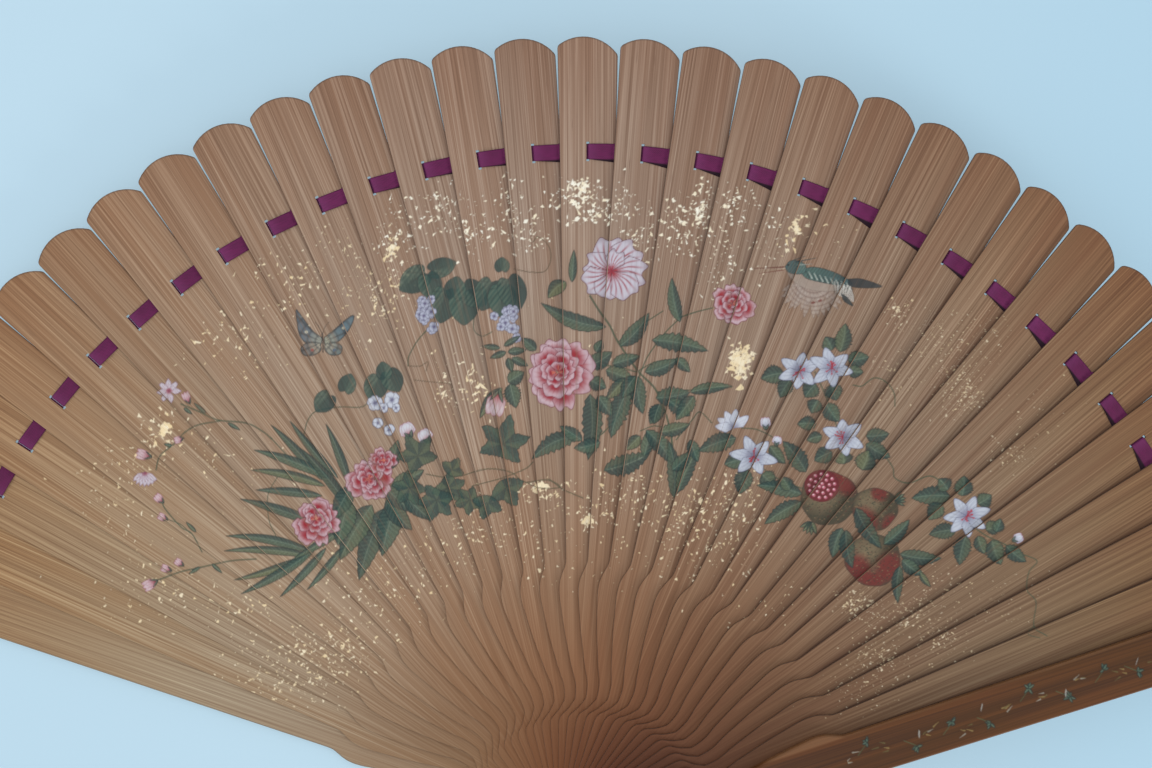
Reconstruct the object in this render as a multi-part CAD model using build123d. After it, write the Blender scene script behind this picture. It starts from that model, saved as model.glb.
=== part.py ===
from build123d import *
import math
import os

# Folding hand fan of the all-stick (brise) kind: 32 bamboo blades on one rivet,
# linked near their tips by a narrow woven ribbon threaded through a slot in each
# stick.  Millimetres.  +Z is the rivet axis, towards the painted front.  +Y runs
# from the rivet to the middle of the open fan.  The origin is on the rivet axis,
# in the plane of the rear guard's outer face.  The fan is modelled fully open.

# ---- driving dimensions -------------------------------------------------
STICKS = 30            # thin inner sticks between the two guards
BLADES = STICKS + 2    # sticks and the two guards
SPAN_DEG = 143.0       # rear guard centre line to front guard centre line
PITCH_DEG = SPAN_DEG / (BLADES - 1)

TIP_R = 200.0          # rivet axis to the highest point of a blade's tip
STICK_T = 0.70         # stick thickness
GAP = 0.15             # free space between neighbouring blades
GUARD_T = 2.40         # guard thickness
W_ROOT = 9.58          # blade width extrapolated to the rivet axis
W_SLOPE = 0.0265       # growth of blade width per mm of radius
FLARE_R = 160.0        # beyond this radius the blade widens a little faster
FLARE_K = 0.00021      # so that the open tips just meet
TIP_ARC_R = 10.5       # arc of the rounded tip
TIP_ARC_X = -1.0       # the arc's centre lies a little to the left
EDGE_EASE = 0.10       # eased long edges of a stick
GUARD_EASE = 0.35      # eased edges of a guard

SLOT_R = 171.2         # rivet axis to the middle of the ribbon slot
SLOT_L = 4.90          # slot length along the blade
SLOT_W = 0.80          # slot width
RIBBON_W = 3.90        # woven ribbon width
RIBBON_T = 0.10        # woven ribbon thickness

PIN_R = 1.50           # rivet shaft
BORE_R = 1.55          # running bore in the blades that turn
HEAD_R = 3.00          # rivet heads
HEAD_T = 0.80          # flush rear head
DOME_H = 0.90          # front dome
WASHER_R = 3.30        # washers under both heads
WASHER_T = 0.30
WASHER_GAP = 0.05      # running gap between the front guard and its washer
RECESS_R = 3.40        # recess in the rear guard for washer and head

os.makedirs("parts", exist_ok=True)


def half_w(r):
    return 0.5 * (W_ROOT + W_SLOPE * r) + FLARE_K * max(0.0, r - FLARE_R) ** 2


# ---- blade outline -------------------------------------------------------
# Left flank from the head to the tip: rounded head, stepped shoulder, narrow
# waist, a flaring leaf shape, a second stepped shoulder, then a long straight
# flank that widens slowly to the rounded tip.
HEAD_END_R = 7.6
FLARE_TOP = 68.5
HEAD_SHOULDER = [(7.60, 25.6), (7.05, 28.1), (5.40, 29.7), (3.90, 31.7), (3.25, 35.2)]
LEAF = [(3.25, 35.2), (4.05, 39.4), (5.15, 44.6), (6.25, 50.4), (7.05, 56.0), (7.50, 60.4)]
UPPER_SHOULDER = [(7.50, 60.4), (7.10, 63.4), (6.15, 65.9), (half_w(FLARE_TOP), FLARE_TOP)]

dyl = math.sqrt(TIP_ARC_R ** 2 - (half_w(197.0) + TIP_ARC_X) ** 2)
dyr = math.sqrt(TIP_ARC_R ** 2 - (half_w(195.0) - TIP_ARC_X) ** 2)
TIP_C_Y = TIP_R - TIP_ARC_R
TIP_LEFT = (-half_w(197.0), TIP_C_Y + dyl)
TIP_RIGHT = (half_w(195.0), TIP_C_Y + dyr)


def flank(side):
    """Edges of one flank, from the head up to the start of the tip arc."""
    def m(pts):
        return [(side * x, y) for x, y in pts]
    up = (0.0, 1.0)
    slope = (side * W_SLOPE / 2, 1.0)
    end = TIP_LEFT if side < 0 else TIP_RIGHT
    return [
        Line((side * HEAD_END_R, 0.0), (side * 7.60, 25.6)),
        Spline(m(HEAD_SHOULDER), tangents=[up, up]),
        Spline(m(LEAF), tangents=[up, up]),
        Spline(m(UPPER_SHOULDER), tangents=[up, slope]),
        Line((side * half_w(FLARE_TOP), FLARE_TOP), (side * half_w(FLARE_R), FLARE_R)),
        Spline([(side * half_w(FLARE_R), FLARE_R), end],
               tangents=[slope, (side * (W_SLOPE / 2 + 2 * FLARE_K * (end[1] - FLARE_R)), 1.0)]),
    ]


def outline():
    edges = flank(-1) + flank(1)
    edges.append(ThreePointArc(TIP_LEFT, (TIP_ARC_X, TIP_R), TIP_RIGHT))
    edges.append(ThreePointArc((-HEAD_END_R, 0.0), (0.0, -HEAD_END_R), (HEAD_END_R, 0.0)))
    wire = Wire(edges)
    face = Face(wire)
    corners = [v for v in face.vertices()
               if abs(v.Y - TIP_LEFT[1]) < 0.01 and abs(v.X - TIP_LEFT[0]) < 0.01]
    face = face.fillet_2d(1.4, corners)
    corners = [v for v in face.vertices()
               if abs(v.Y - TIP_RIGHT[1]) < 0.01 and abs(v.X - TIP_RIGHT[0]) < 0.01]
    return face.fillet_2d(1.6, corners)


def eased(face, thickness, ease):
    """Prism of the outline with its top and bottom edges eased."""
    body = extrude(face, amount=thickness, dir=(0, 0, 1))
    rim = [e for e in body.edges()
           if abs(e.center().Z) < 1e-6 or abs(e.center().Z - thickness) < 1e-6]
    return chamfer(rim, ease)


OUTLINE = outline()


def cylinder(r, z0, z1):
    return Pos(0, 0, z0) * Cylinder(r, z1 - z0, align=(Align.CENTER, Align.CENTER, Align.MIN))


def make_stick():
    s = eased(OUTLINE, STICK_T, EDGE_EASE)
    s -= cylinder(BORE_R, -1, STICK_T + 1)
    slot = Pos(0, SLOT_R, STICK_T / 2) * Box(SLOT_W, SLOT_L, STICK_T + 2)
    return s - slot


def make_guard(bore):
    g = eased(OUTLINE, GUARD_T, GUARD_EASE)
    return g - cylinder(bore, -1, GUARD_T + 1)


# ---- stacking ------------------------------------------------------------
def theta(k):
    """Clockwise angle of blade k from +Y."""
    return -SPAN_DEG / 2 + PITCH_DEG * k


def z_bottom(k):
    if k == 0:
        return 0.0
    return GUARD_T + GAP + (k - 1) * (STICK_T + GAP)


def z_top(k):
    return z_bottom(k) + (GUARD_T if k in (0, BLADES - 1) else STICK_T)


def placed(shape, k):
    return Pos(0, 0, z_bottom(k)) * Rot(0, 0, -theta(k)) * shape


def save(shape, name):
    solids = shape.solids()
    assert len(solids) == 1, (name, len(solids))
    s = solids[0]
    assert s.is_valid, name
    s.label = name
    export_step(s, "parts/" + name + ".step")
    return s


stick = make_stick()
for k in range(1, BLADES - 1):
    save(placed(stick, k), "stick_%02d" % k)

rear = make_guard(PIN_R) - cylinder(RECESS_R, -1, HEAD_T + WASHER_T)
save(placed(rear, 0), "guard_rear")
save(placed(make_guard(BORE_R), BLADES - 1), "guard_front")

# ---- rivet ---------------------------------------------------------------
Z_FRONT = z_top(BLADES - 1)
washer_z = Z_FRONT + WASHER_GAP
dome_z = washer_z + WASHER_T

dome_ball_r = (HEAD_R ** 2 + DOME_H ** 2) / (2 * DOME_H)
dome = Pos(0, 0, dome_z + DOME_H - dome_ball_r) * Sphere(dome_ball_r)
dome = dome & cylinder(HEAD_R, dome_z, dome_z + DOME_H + 1)
pin = cylinder(PIN_R, 0, dome_z + 0.3) + cylinder(HEAD_R, 0, HEAD_T) + dome
save(pin, "rivet_pin")
save(cylinder(WASHER_R, washer_z, dome_z) - cylinder(PIN_R, washer_z - 1, dome_z + 1),
     "rivet_washer_front")
save(cylinder(WASHER_R, HEAD_T, HEAD_T + WASHER_T) - cylinder(PIN_R, 0, 3),
     "rivet_washer_rear")


# ---- ribbon --------------------------------------------------------------
# One strip: flat in each gap from one slot to the next, and up through each
# slot.  Its two ends lie against the inner faces of the guards.
def at_blade(k, r, t):
    """Point at radius r on blade k's centre line, moved t clockwise."""
    a = math.radians(theta(k))
    return (r * math.sin(a) + t * math.cos(a), r * math.cos(a) - t * math.sin(a))


def flat_z(k):
    """Underside of the strip in the gap between blade k and blade k + 1."""
    free = GAP - RIBBON_T
    lift = {0: 0.0, BLADES - 2: free}.get(k, free / 2)
    return z_top(k) + lift


HALF_T = RIBBON_T / 2
r_in, r_out = SLOT_R - RIBBON_W / 2, SLOT_R + RIBBON_W / 2
strip = None
for k in range(BLADES - 1):
    quad = [at_blade(k, r_in, -HALF_T), at_blade(k, r_out, -HALF_T),
            at_blade(k + 1, r_out, HALF_T), at_blade(k + 1, r_in, HALF_T)]
    flat = extrude(Face(Wire.make_polygon([(x, y, flat_z(k)) for x, y in quad], close=True)),
                   amount=RIBBON_T, dir=(0, 0, 1))
    pieces = [flat]
    if k > 0:
        z0, z1 = flat_z(k - 1), flat_z(k) + RIBBON_T
        wall = Pos(0, 0, z0) * Rot(0, 0, -theta(k)) * Pos(0, SLOT_R, 0) * \
            Box(RIBBON_T, RIBBON_W, z1 - z0, align=(Align.CENTER, Align.CENTER, Align.MIN))
        pieces.append(wall)
    for p in pieces:
        strip = p if strip is None else strip + p
ribbon = save(strip, "ribbon")

run = 2 * SLOT_R * math.sin(math.radians(PITCH_DEG / 2))
print("blade width at tip %.2f, at slot %.2f, at shoulder %.2f" %
      (2 * half_w(200), 2 * half_w(SLOT_R), 2 * half_w(FLARE_TOP)))
print("stack height %.2f, slot pitch %.2f, ribbon length %.1f" %
      (dome_z + DOME_H, run, run * (BLADES - 1) + (BLADES - 2) * (STICK_T + GAP)))
print("ribbon volume %.1f" % ribbon.volume)
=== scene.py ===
import math
import random

import bpy
import numpy as np
from mathutils import Matrix, Vector


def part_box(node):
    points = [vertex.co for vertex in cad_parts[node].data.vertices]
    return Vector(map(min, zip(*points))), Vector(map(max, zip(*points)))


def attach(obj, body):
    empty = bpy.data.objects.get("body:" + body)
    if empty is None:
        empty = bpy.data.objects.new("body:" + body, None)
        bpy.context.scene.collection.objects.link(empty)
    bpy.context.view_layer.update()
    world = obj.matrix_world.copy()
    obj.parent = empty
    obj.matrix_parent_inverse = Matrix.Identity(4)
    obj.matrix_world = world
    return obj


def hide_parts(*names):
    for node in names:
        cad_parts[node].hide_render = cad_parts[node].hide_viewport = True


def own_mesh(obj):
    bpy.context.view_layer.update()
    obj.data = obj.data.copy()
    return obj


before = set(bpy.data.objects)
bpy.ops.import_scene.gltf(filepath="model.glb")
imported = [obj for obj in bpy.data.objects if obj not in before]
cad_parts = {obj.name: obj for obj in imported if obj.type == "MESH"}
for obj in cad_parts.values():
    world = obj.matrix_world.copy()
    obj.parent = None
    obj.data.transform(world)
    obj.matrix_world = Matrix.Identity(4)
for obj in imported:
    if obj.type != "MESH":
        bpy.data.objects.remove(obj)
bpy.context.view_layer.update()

MM = 0.001
SPAN_DEG = 143.0
BLADES = 32
PITCH = math.radians(SPAN_DEG / (BLADES - 1))
THETA0 = math.radians(-SPAN_DEG / 2)
STICK_T, GAP, GUARD_T = 0.70, 0.15, 2.40
SLOT_R, RIBBON_W = 171.2, 3.9
W_ROOT, W_SLOPE = 9.58, 0.0265
FLARE_R, FLARE_K = 160.0, 0.00021


def theta(k):
    return THETA0 + PITCH * k


def node_name(k):
    return "guard_rear" if k == 0 else "guard_front" if k == BLADES - 1 else "stick_%02d" % k


def body_name(k):
    return "rear" if k == 0 else "front" if k == BLADES - 1 else "stick_%02d" % k


def z_top(k):
    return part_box(node_name(k))[1][2] / MM


def z_bot(k):
    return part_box(node_name(k))[0][2] / MM


def half_w(r):
    return 0.5 * (W_ROOT + W_SLOPE * r) + FLARE_K * max(0.0, r - FLARE_R) ** 2


def to_row(k, x, y, z):
    """Blade k's own coordinates (x across to the right, y along), mm, to row metres."""
    c, s = math.cos(theta(k)), math.sin(theta(k))
    return ((x * c + y * s) * MM, (-x * s + y * c) * MM, z * MM)


# ------------------------------------------------------------------ camera
def place_camera():
    px = 0.2525 * MM
    delta, tx, ty, height = math.radians(1.99), math.radians(2.03), math.radians(6.92), 2067.0
    turn = Matrix.Rotation(delta, 3, "Z")
    tilt = (Matrix.Rotation(ty, 3, "Y") @ Matrix.Rotation(tx, 3, "X")).transposed()
    rot = turn @ tilt
    near = turn @ Vector((-15.2 * px, 445.7 * px, 0.0))
    pos = near + rot @ Vector((0, 0, height * px)) + Vector((0, 0, 16.0 * MM))
    cam = bpy.data.cameras.new("camera")
    cam.sensor_width = 36.0
    cam.lens = height / 1152.0 * 36.0
    cam.clip_start = 0.01
    ob = bpy.data.objects.new("camera", cam)
    ob.matrix_world = Matrix.Translation(pos) @ rot.to_4x4()
    bpy.context.scene.collection.objects.link(ob)
    bpy.context.scene.camera = ob
    return ob


camera = place_camera()


def area(name, loc, target, size, energy, colour=(1, 1, 1), spread=None):
    data = bpy.data.lights.new(name, "AREA")
    data.shape = "SQUARE"
    data.size = size
    data.energy = energy
    data.color = colour
    if spread:
        data.spread = math.radians(spread)
    ob = bpy.data.objects.new(name, data)
    ob.location = loc
    ob.rotation_euler = (Vector(target) - Vector(loc)).to_track_quat("-Z", "Y").to_euler()
    bpy.context.scene.collection.objects.link(ob)
    return ob


area("key", (0.62, -0.35, 0.34), (0.0, 0.10, 0.0), 0.20, 2.2, (1.0, 0.975, 0.93))
area("sky", (-0.30, 0.25, 1.0), (0.0, 0.10, 0.0), 1.3, 3.7, (0.96, 0.98, 1.0))
area("left", (-0.75, 0.10, 0.35), (-0.10, 0.10, 0.0), 0.6, 1.1, (1.0, 0.98, 0.94))

world = bpy.data.worlds.new("world")
bpy.context.scene.world = world
world.use_nodes = True
world.node_tree.nodes["Background"].inputs["Color"].default_value = (0.92, 0.96, 1.0, 1)
world.node_tree.nodes["Background"].inputs["Strength"].default_value = 0.60
bpy.context.scene.view_settings.view_transform = "Standard"


# ------------------------------------------------------------------ materials
class Graph:
    """A few short ways to write a node material."""

    def __init__(self, name):
        self.mat = bpy.data.materials.new(name)
        self.mat.use_nodes = True
        self.t = self.mat.node_tree
        self.t.nodes.clear()
        self.out = self.t.nodes.new("ShaderNodeOutputMaterial")
        self.bsdf = self.t.nodes.new("ShaderNodeBsdfPrincipled")
        self.link(self.bsdf.outputs[0], self.out.inputs[0])

    def link(self, a, b):
        self.t.links.new(a, b)

    def node(self, kind, **values):
        n = self.t.nodes.new(kind)
        for k, v in values.items():
            setattr(n, k, v)
        return n

    def put(self, socket, value):
        if isinstance(value, bpy.types.NodeSocket):
            self.link(value, socket)
        else:
            socket.default_value = value

    def math(self, op, a, b=None, c=None, clamp=False):
        n = self.node("ShaderNodeMath", operation=op, use_clamp=clamp)
        for i, v in enumerate((a, b, c)):
            if v is not None:
                self.put(n.inputs[i], v)
        return n.outputs[0]

    def mapping(self, vec, scale=(1, 1, 1), rot=(0, 0, 0), loc=(0, 0, 0)):
        n = self.node("ShaderNodeMapping")
        self.link(vec, n.inputs["Vector"])
        n.inputs["Scale"].default_value = scale
        n.inputs["Rotation"].default_value = rot
        n.inputs["Location"].default_value = loc
        return n.outputs[0]

    def noise(self, vec, detail=2.0, rough=0.5, scale=1.0, distort=0.0):
        n = self.node("ShaderNodeTexNoise")
        self.link(vec, n.inputs["Vector"])
        n.inputs["Scale"].default_value = scale
        n.inputs["Detail"].default_value = detail
        n.inputs["Roughness"].default_value = rough
        n.inputs["Distortion"].default_value = distort
        return n.outputs[0]

    def ramp(self, value, lo, hi, a=0.0, b=1.0, clamp=True):
        n = self.node("ShaderNodeMapRange", clamp=clamp)
        self.put(n.inputs[0], value)
        for i, v in zip((1, 2, 3, 4), (lo, hi, a, b)):
            n.inputs[i].default_value = v
        return n.outputs[0]

    def mix(self, fac, a, b, kind="MIX"):
        n = self.node("ShaderNodeMix", data_type="RGBA", blend_type=kind)
        self.put(n.inputs[0], fac)
        for socket, v in ((n.inputs[6], a), (n.inputs[7], b)):
            if isinstance(v, bpy.types.NodeSocket):
                self.link(v, socket)
            else:
                socket.default_value = (*v, 1.0)
        return n.outputs[2]

    def bump(self, height, strength, distance, normal=None):
        n = self.node("ShaderNodeBump")
        n.inputs["Strength"].default_value = strength
        n.inputs["Distance"].default_value = distance
        self.link(height, n.inputs["Height"])
        if normal is not None:
            self.link(normal, n.inputs["Normal"])
        return n.outputs[0]


def blade_coords(g, k):
    """Blade k's own coordinates in metres: x across, y along, the same through the thickness."""
    tc = g.node("ShaderNodeTexCoord")
    return g.mapping(tc.outputs["Object"], rot=(0, 0, theta(k)), scale=(1, 1, 0))


def wood_tone_and_painted_light(g, c, k, along):
    """Wood tone with painted light over the fan: the wood grows redder and darker towards the rivet and the right side,
    partly its own tone and partly painted shade where the light falls off, and it is paled a little in the painted
    middle, a painted sheen."""
    s = (k - 15.5) / 15.5
    q = g.math("MINIMUM", g.math("MAXIMUM", g.math("DIVIDE", along, 0.2), 0.06), 1.0)
    parts = g.node("ShaderNodeCombineColor")
    for i, v in enumerate(([-0.126, -0.487, 0.437, -0.336, 0.236, 1.155, 0.327, -0.744, -0.634, -0.281],
                           [-0.769, -0.895, 2.575, -0.296, -1.473, 2.426, 0.713, -1.682, -0.535, -1.141],
                           [-1.531, -1.299, 5.388, -0.271, -4.046, 3.747, 0.939, -2.731, 0.003, -2.335])):
        a0 = v[0] + v[1] * s + v[3] * s * s
        a1 = v[2] + v[5] * s + v[6] * s * s
        a2 = v[4] + v[7] * s + v[9] * s * s
        t = g.math("MULTIPLY_ADD", q, v[8], a2)
        t = g.math("MULTIPLY_ADD", q, t, a1)
        t = g.math("MULTIPLY_ADD", q, t, a0)
        g.link(g.math("EXPONENT", t), parts.inputs[i])
    return g.mix(1.0, c, parts.outputs[0], "MULTIPLY")


def bamboo_colour(g, k):
    """Colour, height and roughness of planed bamboo: fine long fibres, pith streaks and
    each strip's own tone.  The heads are darker towards the rivet, and painted shade darkens the right side of the fan,
    the sides, the rounded end and the band beside the next blade."""
    rng = random.Random(1000 + k)
    p = blade_coords(g, k)
    seed = (rng.uniform(0, 90), rng.uniform(0, 90), k * 3.71)
    fine = g.noise(g.mapping(p, scale=(2400, 13, 0), loc=seed), 3.0, 0.66)
    medium = g.noise(g.mapping(p, scale=(900, 6, 0), loc=seed), 2.0, 0.55)
    broad = g.noise(g.mapping(p, scale=(190, 3.0, 0), loc=seed), 1.0, 0.5)
    dash = g.noise(g.mapping(p, scale=(2300, 110, 0), loc=seed), 1.0, 0.5)
    blotch = g.noise(g.mapping(p, scale=(42, 22, 0), loc=seed), 2.0, 0.5)

    tone = rng.uniform(-0.05, 0.05)
    side = (k - 15.5) / 15.5
    # painted shade: the wood's colours darken towards the right side of the fan, where less light falls
    light = (0.445 - 0.105 * side, 0.318 - 0.100 * side, 0.216 - 0.085 * side)
    mid = (0.295 - 0.080 * side, 0.190 - 0.068 * side, 0.119 - 0.053 * side)
    dark = (0.168 - 0.050 * side, 0.090 - 0.034 * side, 0.049 - 0.022 * side)
    warm = (0.280 - 0.070 * side, 0.162 - 0.055 * side, 0.094 - 0.034 * side)
    light, mid, dark, warm = [tuple(max(0.01, v * (1 + tone)) for v in c)
                              for c in (light, mid, dark, warm)]

    c = g.mix(g.ramp(broad, 0.38, 0.62), mid, warm)
    c = g.mix(g.ramp(medium, 0.46, 0.76, 0.0, 0.38), c, light)
    c = g.mix(g.ramp(medium, 0.44, 0.24, 0.0, 0.28), c, dark)
    c = g.mix(g.ramp(fine, 0.52, 0.68, 0.0, 0.90), c, light)
    c = g.mix(g.ramp(fine, 0.48, 0.34, 0.0, 0.72), c, dark)
    c = g.mix(g.ramp(dash, 0.70, 0.80, 0.0, 0.45), c, (dark[0] * 0.6, dark[1] * 0.5, dark[2] * 0.45))
    c = g.mix(g.ramp(blotch, 0.35, 0.75, 0.0, 0.30), c, warm)
    sep = g.node("ShaderNodeSeparateXYZ")
    g.link(p, sep.inputs[0])
    along = sep.outputs[1]
    # the heads darken towards the rivet; the extra darkening on the right side of the fan is painted shade
    head_darkening = g.ramp(along, 0.072, 0.018, 0.0, 1.0)
    c = g.mix(g.math("MULTIPLY", head_darkening, 0.66 + 0.18 * max(0.0, side)), c,
              (0.150 - 0.05 * side, 0.066 - 0.026 * side, 0.026 - 0.010 * side))
    c = g.mix(g.ramp(along, 0.100, 0.045, 0.0, 0.42), c, (0.25 - 0.04 * side, 0.135 - 0.03 * side, 0.068 - 0.02 * side))
    # painted shadow of the next blade's edge on this one, a soft band and a dark line, stronger on the right side of
    # the fan
    if 0 < k:
        past = g.math("MAXIMUM", g.math("SUBTRACT", along, FLARE_R * MM), 0.0)
        lap = g.math("SUBTRACT", g.math("MULTIPLY_ADD", along, 0.0672, -4.775 * MM), sep.outputs[0])
        lap = g.math("SUBTRACT", lap, g.math("MULTIPLY", g.math("MULTIPLY", past, past), FLARE_K * 1000))
        up = g.ramp(along, 0.064, 0.072)
        lee = 0.5 + 0.5 * max(-1.0, min(1.0, side * 1.4))
        c = g.mix(g.math("MULTIPLY", g.ramp(lap, 0.0030, 0.0, 0.0, 0.02 + 0.20 * lee), up), c, (dark[0] * 0.62, dark[1] * 0.50, dark[2] * 0.42))
        c = g.mix(g.math("MULTIPLY", g.ramp(lap, 0.0007, 0.0001, 0.0, 0.14 + 0.50 * lee), up), c, (dark[0] * 0.42, dark[1] * 0.28, dark[2] * 0.24))
    # painted shade towards the rivet and the right side, and a painted sheen in the middle
    c = wood_tone_and_painted_light(g, c, k, along)
    # painted shade: a thin dark rim along the rounded end's edge
    dx, dy = g.math("ADD", sep.outputs[0], 1.0 * MM), g.math("SUBTRACT", along, 189.5 * MM)
    far = g.math("SQRT", g.math("ADD", g.math("MULTIPLY", dx, dx), g.math("MULTIPLY", dy, dy)))
    end_rim_shade = g.math("MULTIPLY", g.ramp(far, 10.02 * MM, 10.42 * MM, 0.0, 0.62), g.ramp(along, 0.191, 0.193))
    c = g.mix(end_rim_shade, c, (0.060, 0.032, 0.022))
    # painted shade on the sides and eased edges of the stick, stronger on the right side of the fan
    tc = g.node("ShaderNodeTexCoord")
    nz = g.node("ShaderNodeSeparateXYZ")
    g.link(tc.outputs["Normal"], nz.inputs[0])
    wall = g.ramp(g.math("ABSOLUTE", nz.outputs[2]), 0.95, 0.30, 0.0, 0.50 + 0.38 * max(0.0, min(1.0, 0.5 + side * 0.9)))
    c = g.mix(wall, c, (0.050, 0.020, 0.010))
    height = g.math("ADD", g.math("MULTIPLY", fine, 0.6), g.math("MULTIPLY", medium, 0.4))
    rough = g.ramp(fine, 0.3, 0.7, 0.62, 0.46)
    return c, height, rough


def bamboo(k):
    g = Graph("bamboo_%02d" % k)
    c, height, rough = bamboo_colour(g, k)
    g.link(c, g.bsdf.inputs["Base Color"])
    g.link(rough, g.bsdf.inputs["Roughness"])
    g.bsdf.inputs["Specular IOR Level"].default_value = 0.35
    g.bsdf.inputs["Sheen Weight"].default_value = 0.06
    g.link(g.bump(height, 0.30, 0.00012), g.bsdf.inputs["Normal"])
    return g.mat


def set_material(ob, mat):
    for s in ob.material_slots:
        s.link = "OBJECT"
        s.material = mat


for k in range(1, BLADES - 1):
    set_material(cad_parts[node_name(k)], bamboo(k))


def guard_colour(g, k):
    """Bamboo under a thin red-brown lacquer, worn lighter along its edges."""
    p = blade_coords(g, k)
    seed = (31.0 + k, 7.0, k * 1.3)
    fine = g.noise(g.mapping(p, scale=(2300, 12, 0), loc=seed), 3.0, 0.6)
    medium = g.noise(g.mapping(p, scale=(520, 6, 0), loc=seed), 2.0, 0.55)
    blotch = g.noise(g.mapping(p, scale=(60, 20, 0), loc=seed), 3.0, 0.55)
    c = g.mix(g.ramp(medium, 0.36, 0.66), (0.064, 0.020, 0.0035), (0.121, 0.037, 0.0065))
    c = g.mix(g.ramp(blotch, 0.40, 0.70, 0.0, 0.65), c, (0.083, 0.034, 0.0070))
    c = g.mix(g.ramp(fine, 0.50, 0.75, 0.0, 0.50), c, (0.158, 0.056, 0.0125))
    c = g.mix(g.ramp(fine, 0.46, 0.28, 0.0, 0.50), c, (0.034, 0.010, 0.003))
    sep = g.node("ShaderNodeSeparateXYZ")
    g.link(p, sep.inputs[0])
    half = g.math("MULTIPLY_ADD", sep.outputs[1], W_SLOPE / 2, W_ROOT / 2 * MM)
    near = g.math("SUBTRACT", half, g.math("ABSOLUTE", sep.outputs[0]))
    worn = g.ramp(g.math("MULTIPLY_ADD", blotch, -0.0008, near), 0.0001, -0.0004, 0.0, 0.55)
    c = g.mix(worn, c, (0.26, 0.12, 0.050))
    height = g.math("ADD", g.math("MULTIPLY", fine, 0.6), g.math("MULTIPLY", medium, 0.4))
    return c, height, g.ramp(blotch, 0.3, 0.7, 0.46, 0.30)


def lacquer_finish(g):
    g.bsdf.inputs["Specular IOR Level"].default_value = 0.30
    g.bsdf.inputs["Coat Weight"].default_value = 0.08
    g.bsdf.inputs["Coat Roughness"].default_value = 0.25


def guard_front_material():
    g = Graph("guard_front")
    c, height, rough = guard_colour(g, BLADES - 1)
    g.link(c, g.bsdf.inputs["Base Color"])
    g.link(rough, g.bsdf.inputs["Roughness"])
    g.link(g.bump(height, 0.22, 0.00010), g.bsdf.inputs["Normal"])
    lacquer_finish(g)
    return g.mat


def guard_rear_material():
    """Lacquered outside and along its sides, bare bamboo on its inner face."""
    g = Graph("guard_rear")
    red, height, rough = guard_colour(g, 0)
    tan, _, tan_rough = bamboo_colour(g, 0)
    tc = g.node("ShaderNodeTexCoord")
    sep = g.node("ShaderNodeSeparateXYZ")
    g.link(tc.outputs["Object"], sep.inputs[0])
    inner = g.ramp(sep.outputs[2], (GUARD_T - 0.75) * MM, (GUARD_T - 0.55) * MM)
    g.link(g.mix(inner, red, tan), g.bsdf.inputs["Base Color"])
    g.link(g.math("ADD", g.math("MULTIPLY", inner, tan_rough), g.math("MULTIPLY", g.math("SUBTRACT", 1.0, inner), rough)),
           g.bsdf.inputs["Roughness"])
    g.link(g.bump(height, 0.22, 0.00010), g.bsdf.inputs["Normal"])
    g.bsdf.inputs["Coat Weight"].default_value = 0.10
    g.bsdf.inputs["Coat Roughness"].default_value = 0.3
    return g.mat


def brass(name, seed):
    """Turned brass: fine circular tool marks, handling dulled towards the rim."""
    g = Graph(name)
    tc = g.node("ShaderNodeTexCoord")
    p = tc.outputs["Object"]
    sep = g.node("ShaderNodeSeparateXYZ")
    g.link(p, sep.inputs[0])
    r = g.math("SQRT", g.math("ADD", g.math("POWER", sep.outputs[0], 2.0), g.math("POWER", sep.outputs[1], 2.0)))
    ring = g.node("ShaderNodeCombineXYZ")
    g.link(g.math("MULTIPLY", r, 9000.0), ring.inputs[0])
    g.link(g.math("MULTIPLY", sep.outputs[2], 9000.0), ring.inputs[1])
    ring.inputs[2].default_value = seed
    marks = g.noise(ring.outputs[0], 2.0, 0.6)
    cloud = g.noise(g.mapping(p, scale=(700, 700, 700), loc=(seed, seed, seed)), 3.0, 0.6)
    scratch = g.noise(g.mapping(p, scale=(400, 9000, 400), rot=(0, 0, 0.6)), 2.0, 0.5)
    c = g.mix(g.ramp(cloud, 0.35, 0.70), (0.62, 0.42, 0.15), (0.78, 0.60, 0.28))
    c = g.mix(g.ramp(cloud, 0.42, 0.25, 0.0, 0.7), c, (0.26, 0.16, 0.06))
    c = g.mix(g.ramp(r, 0.0022, 0.0033, 0.0, 0.35), c, (0.30, 0.19, 0.07))
    g.link(c, g.bsdf.inputs["Base Color"])
    g.bsdf.inputs["Metallic"].default_value = 1.0
    g.link(g.math("MULTIPLY_ADD", g.ramp(cloud, 0.3, 0.7, 0.0, 0.25), 1.0, g.ramp(marks, 0.3, 0.7, 0.22, 0.36)),
           g.bsdf.inputs["Roughness"])
    h = g.math("MULTIPLY_ADD", scratch, 0.3, marks)
    g.link(g.bump(h, 0.15, 0.00003), g.bsdf.inputs["Normal"])
    return g.mat


set_material(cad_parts["guard_front"], guard_front_material())
set_material(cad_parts["guard_rear"], guard_rear_material())
for i, n in enumerate(("rivet_pin", "rivet_washer_front", "rivet_washer_rear")):
    set_material(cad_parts[n], brass(n, 3.0 + i))


def to_row_arrays(k, x, y, z):
    c, s = math.cos(theta(k)), math.sin(theta(k))
    return ((x * c + y * s) * MM, (-x * s + y * c) * MM, z * MM)


# ------------------------------------------------------------------ painting
# The painting is a spray of garden flowers of the maker's own drawing, set out in
# picture units of a quarter millimetre as the open fan is seen from in front of its
# middle.  It is drawn on a grid here and carried onto each stick as point colours.
rng = np.random.default_rng(20)
UNIT_SCALE = 2.0


def lin(c):
    c = np.asarray(c, np.float32) / 255.0
    return np.where(c <= 0.04045, c / 12.92, ((c + 0.055) / 1.055) ** 2.4).astype(np.float32)


def smooth(a, b, x):
    t = np.clip((x - a) / (b - a), 0, 1)
    return t * t * (3 - 2 * t)


def blend_c(a, b, t):
    return a + (b - a) * t[..., None]


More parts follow.
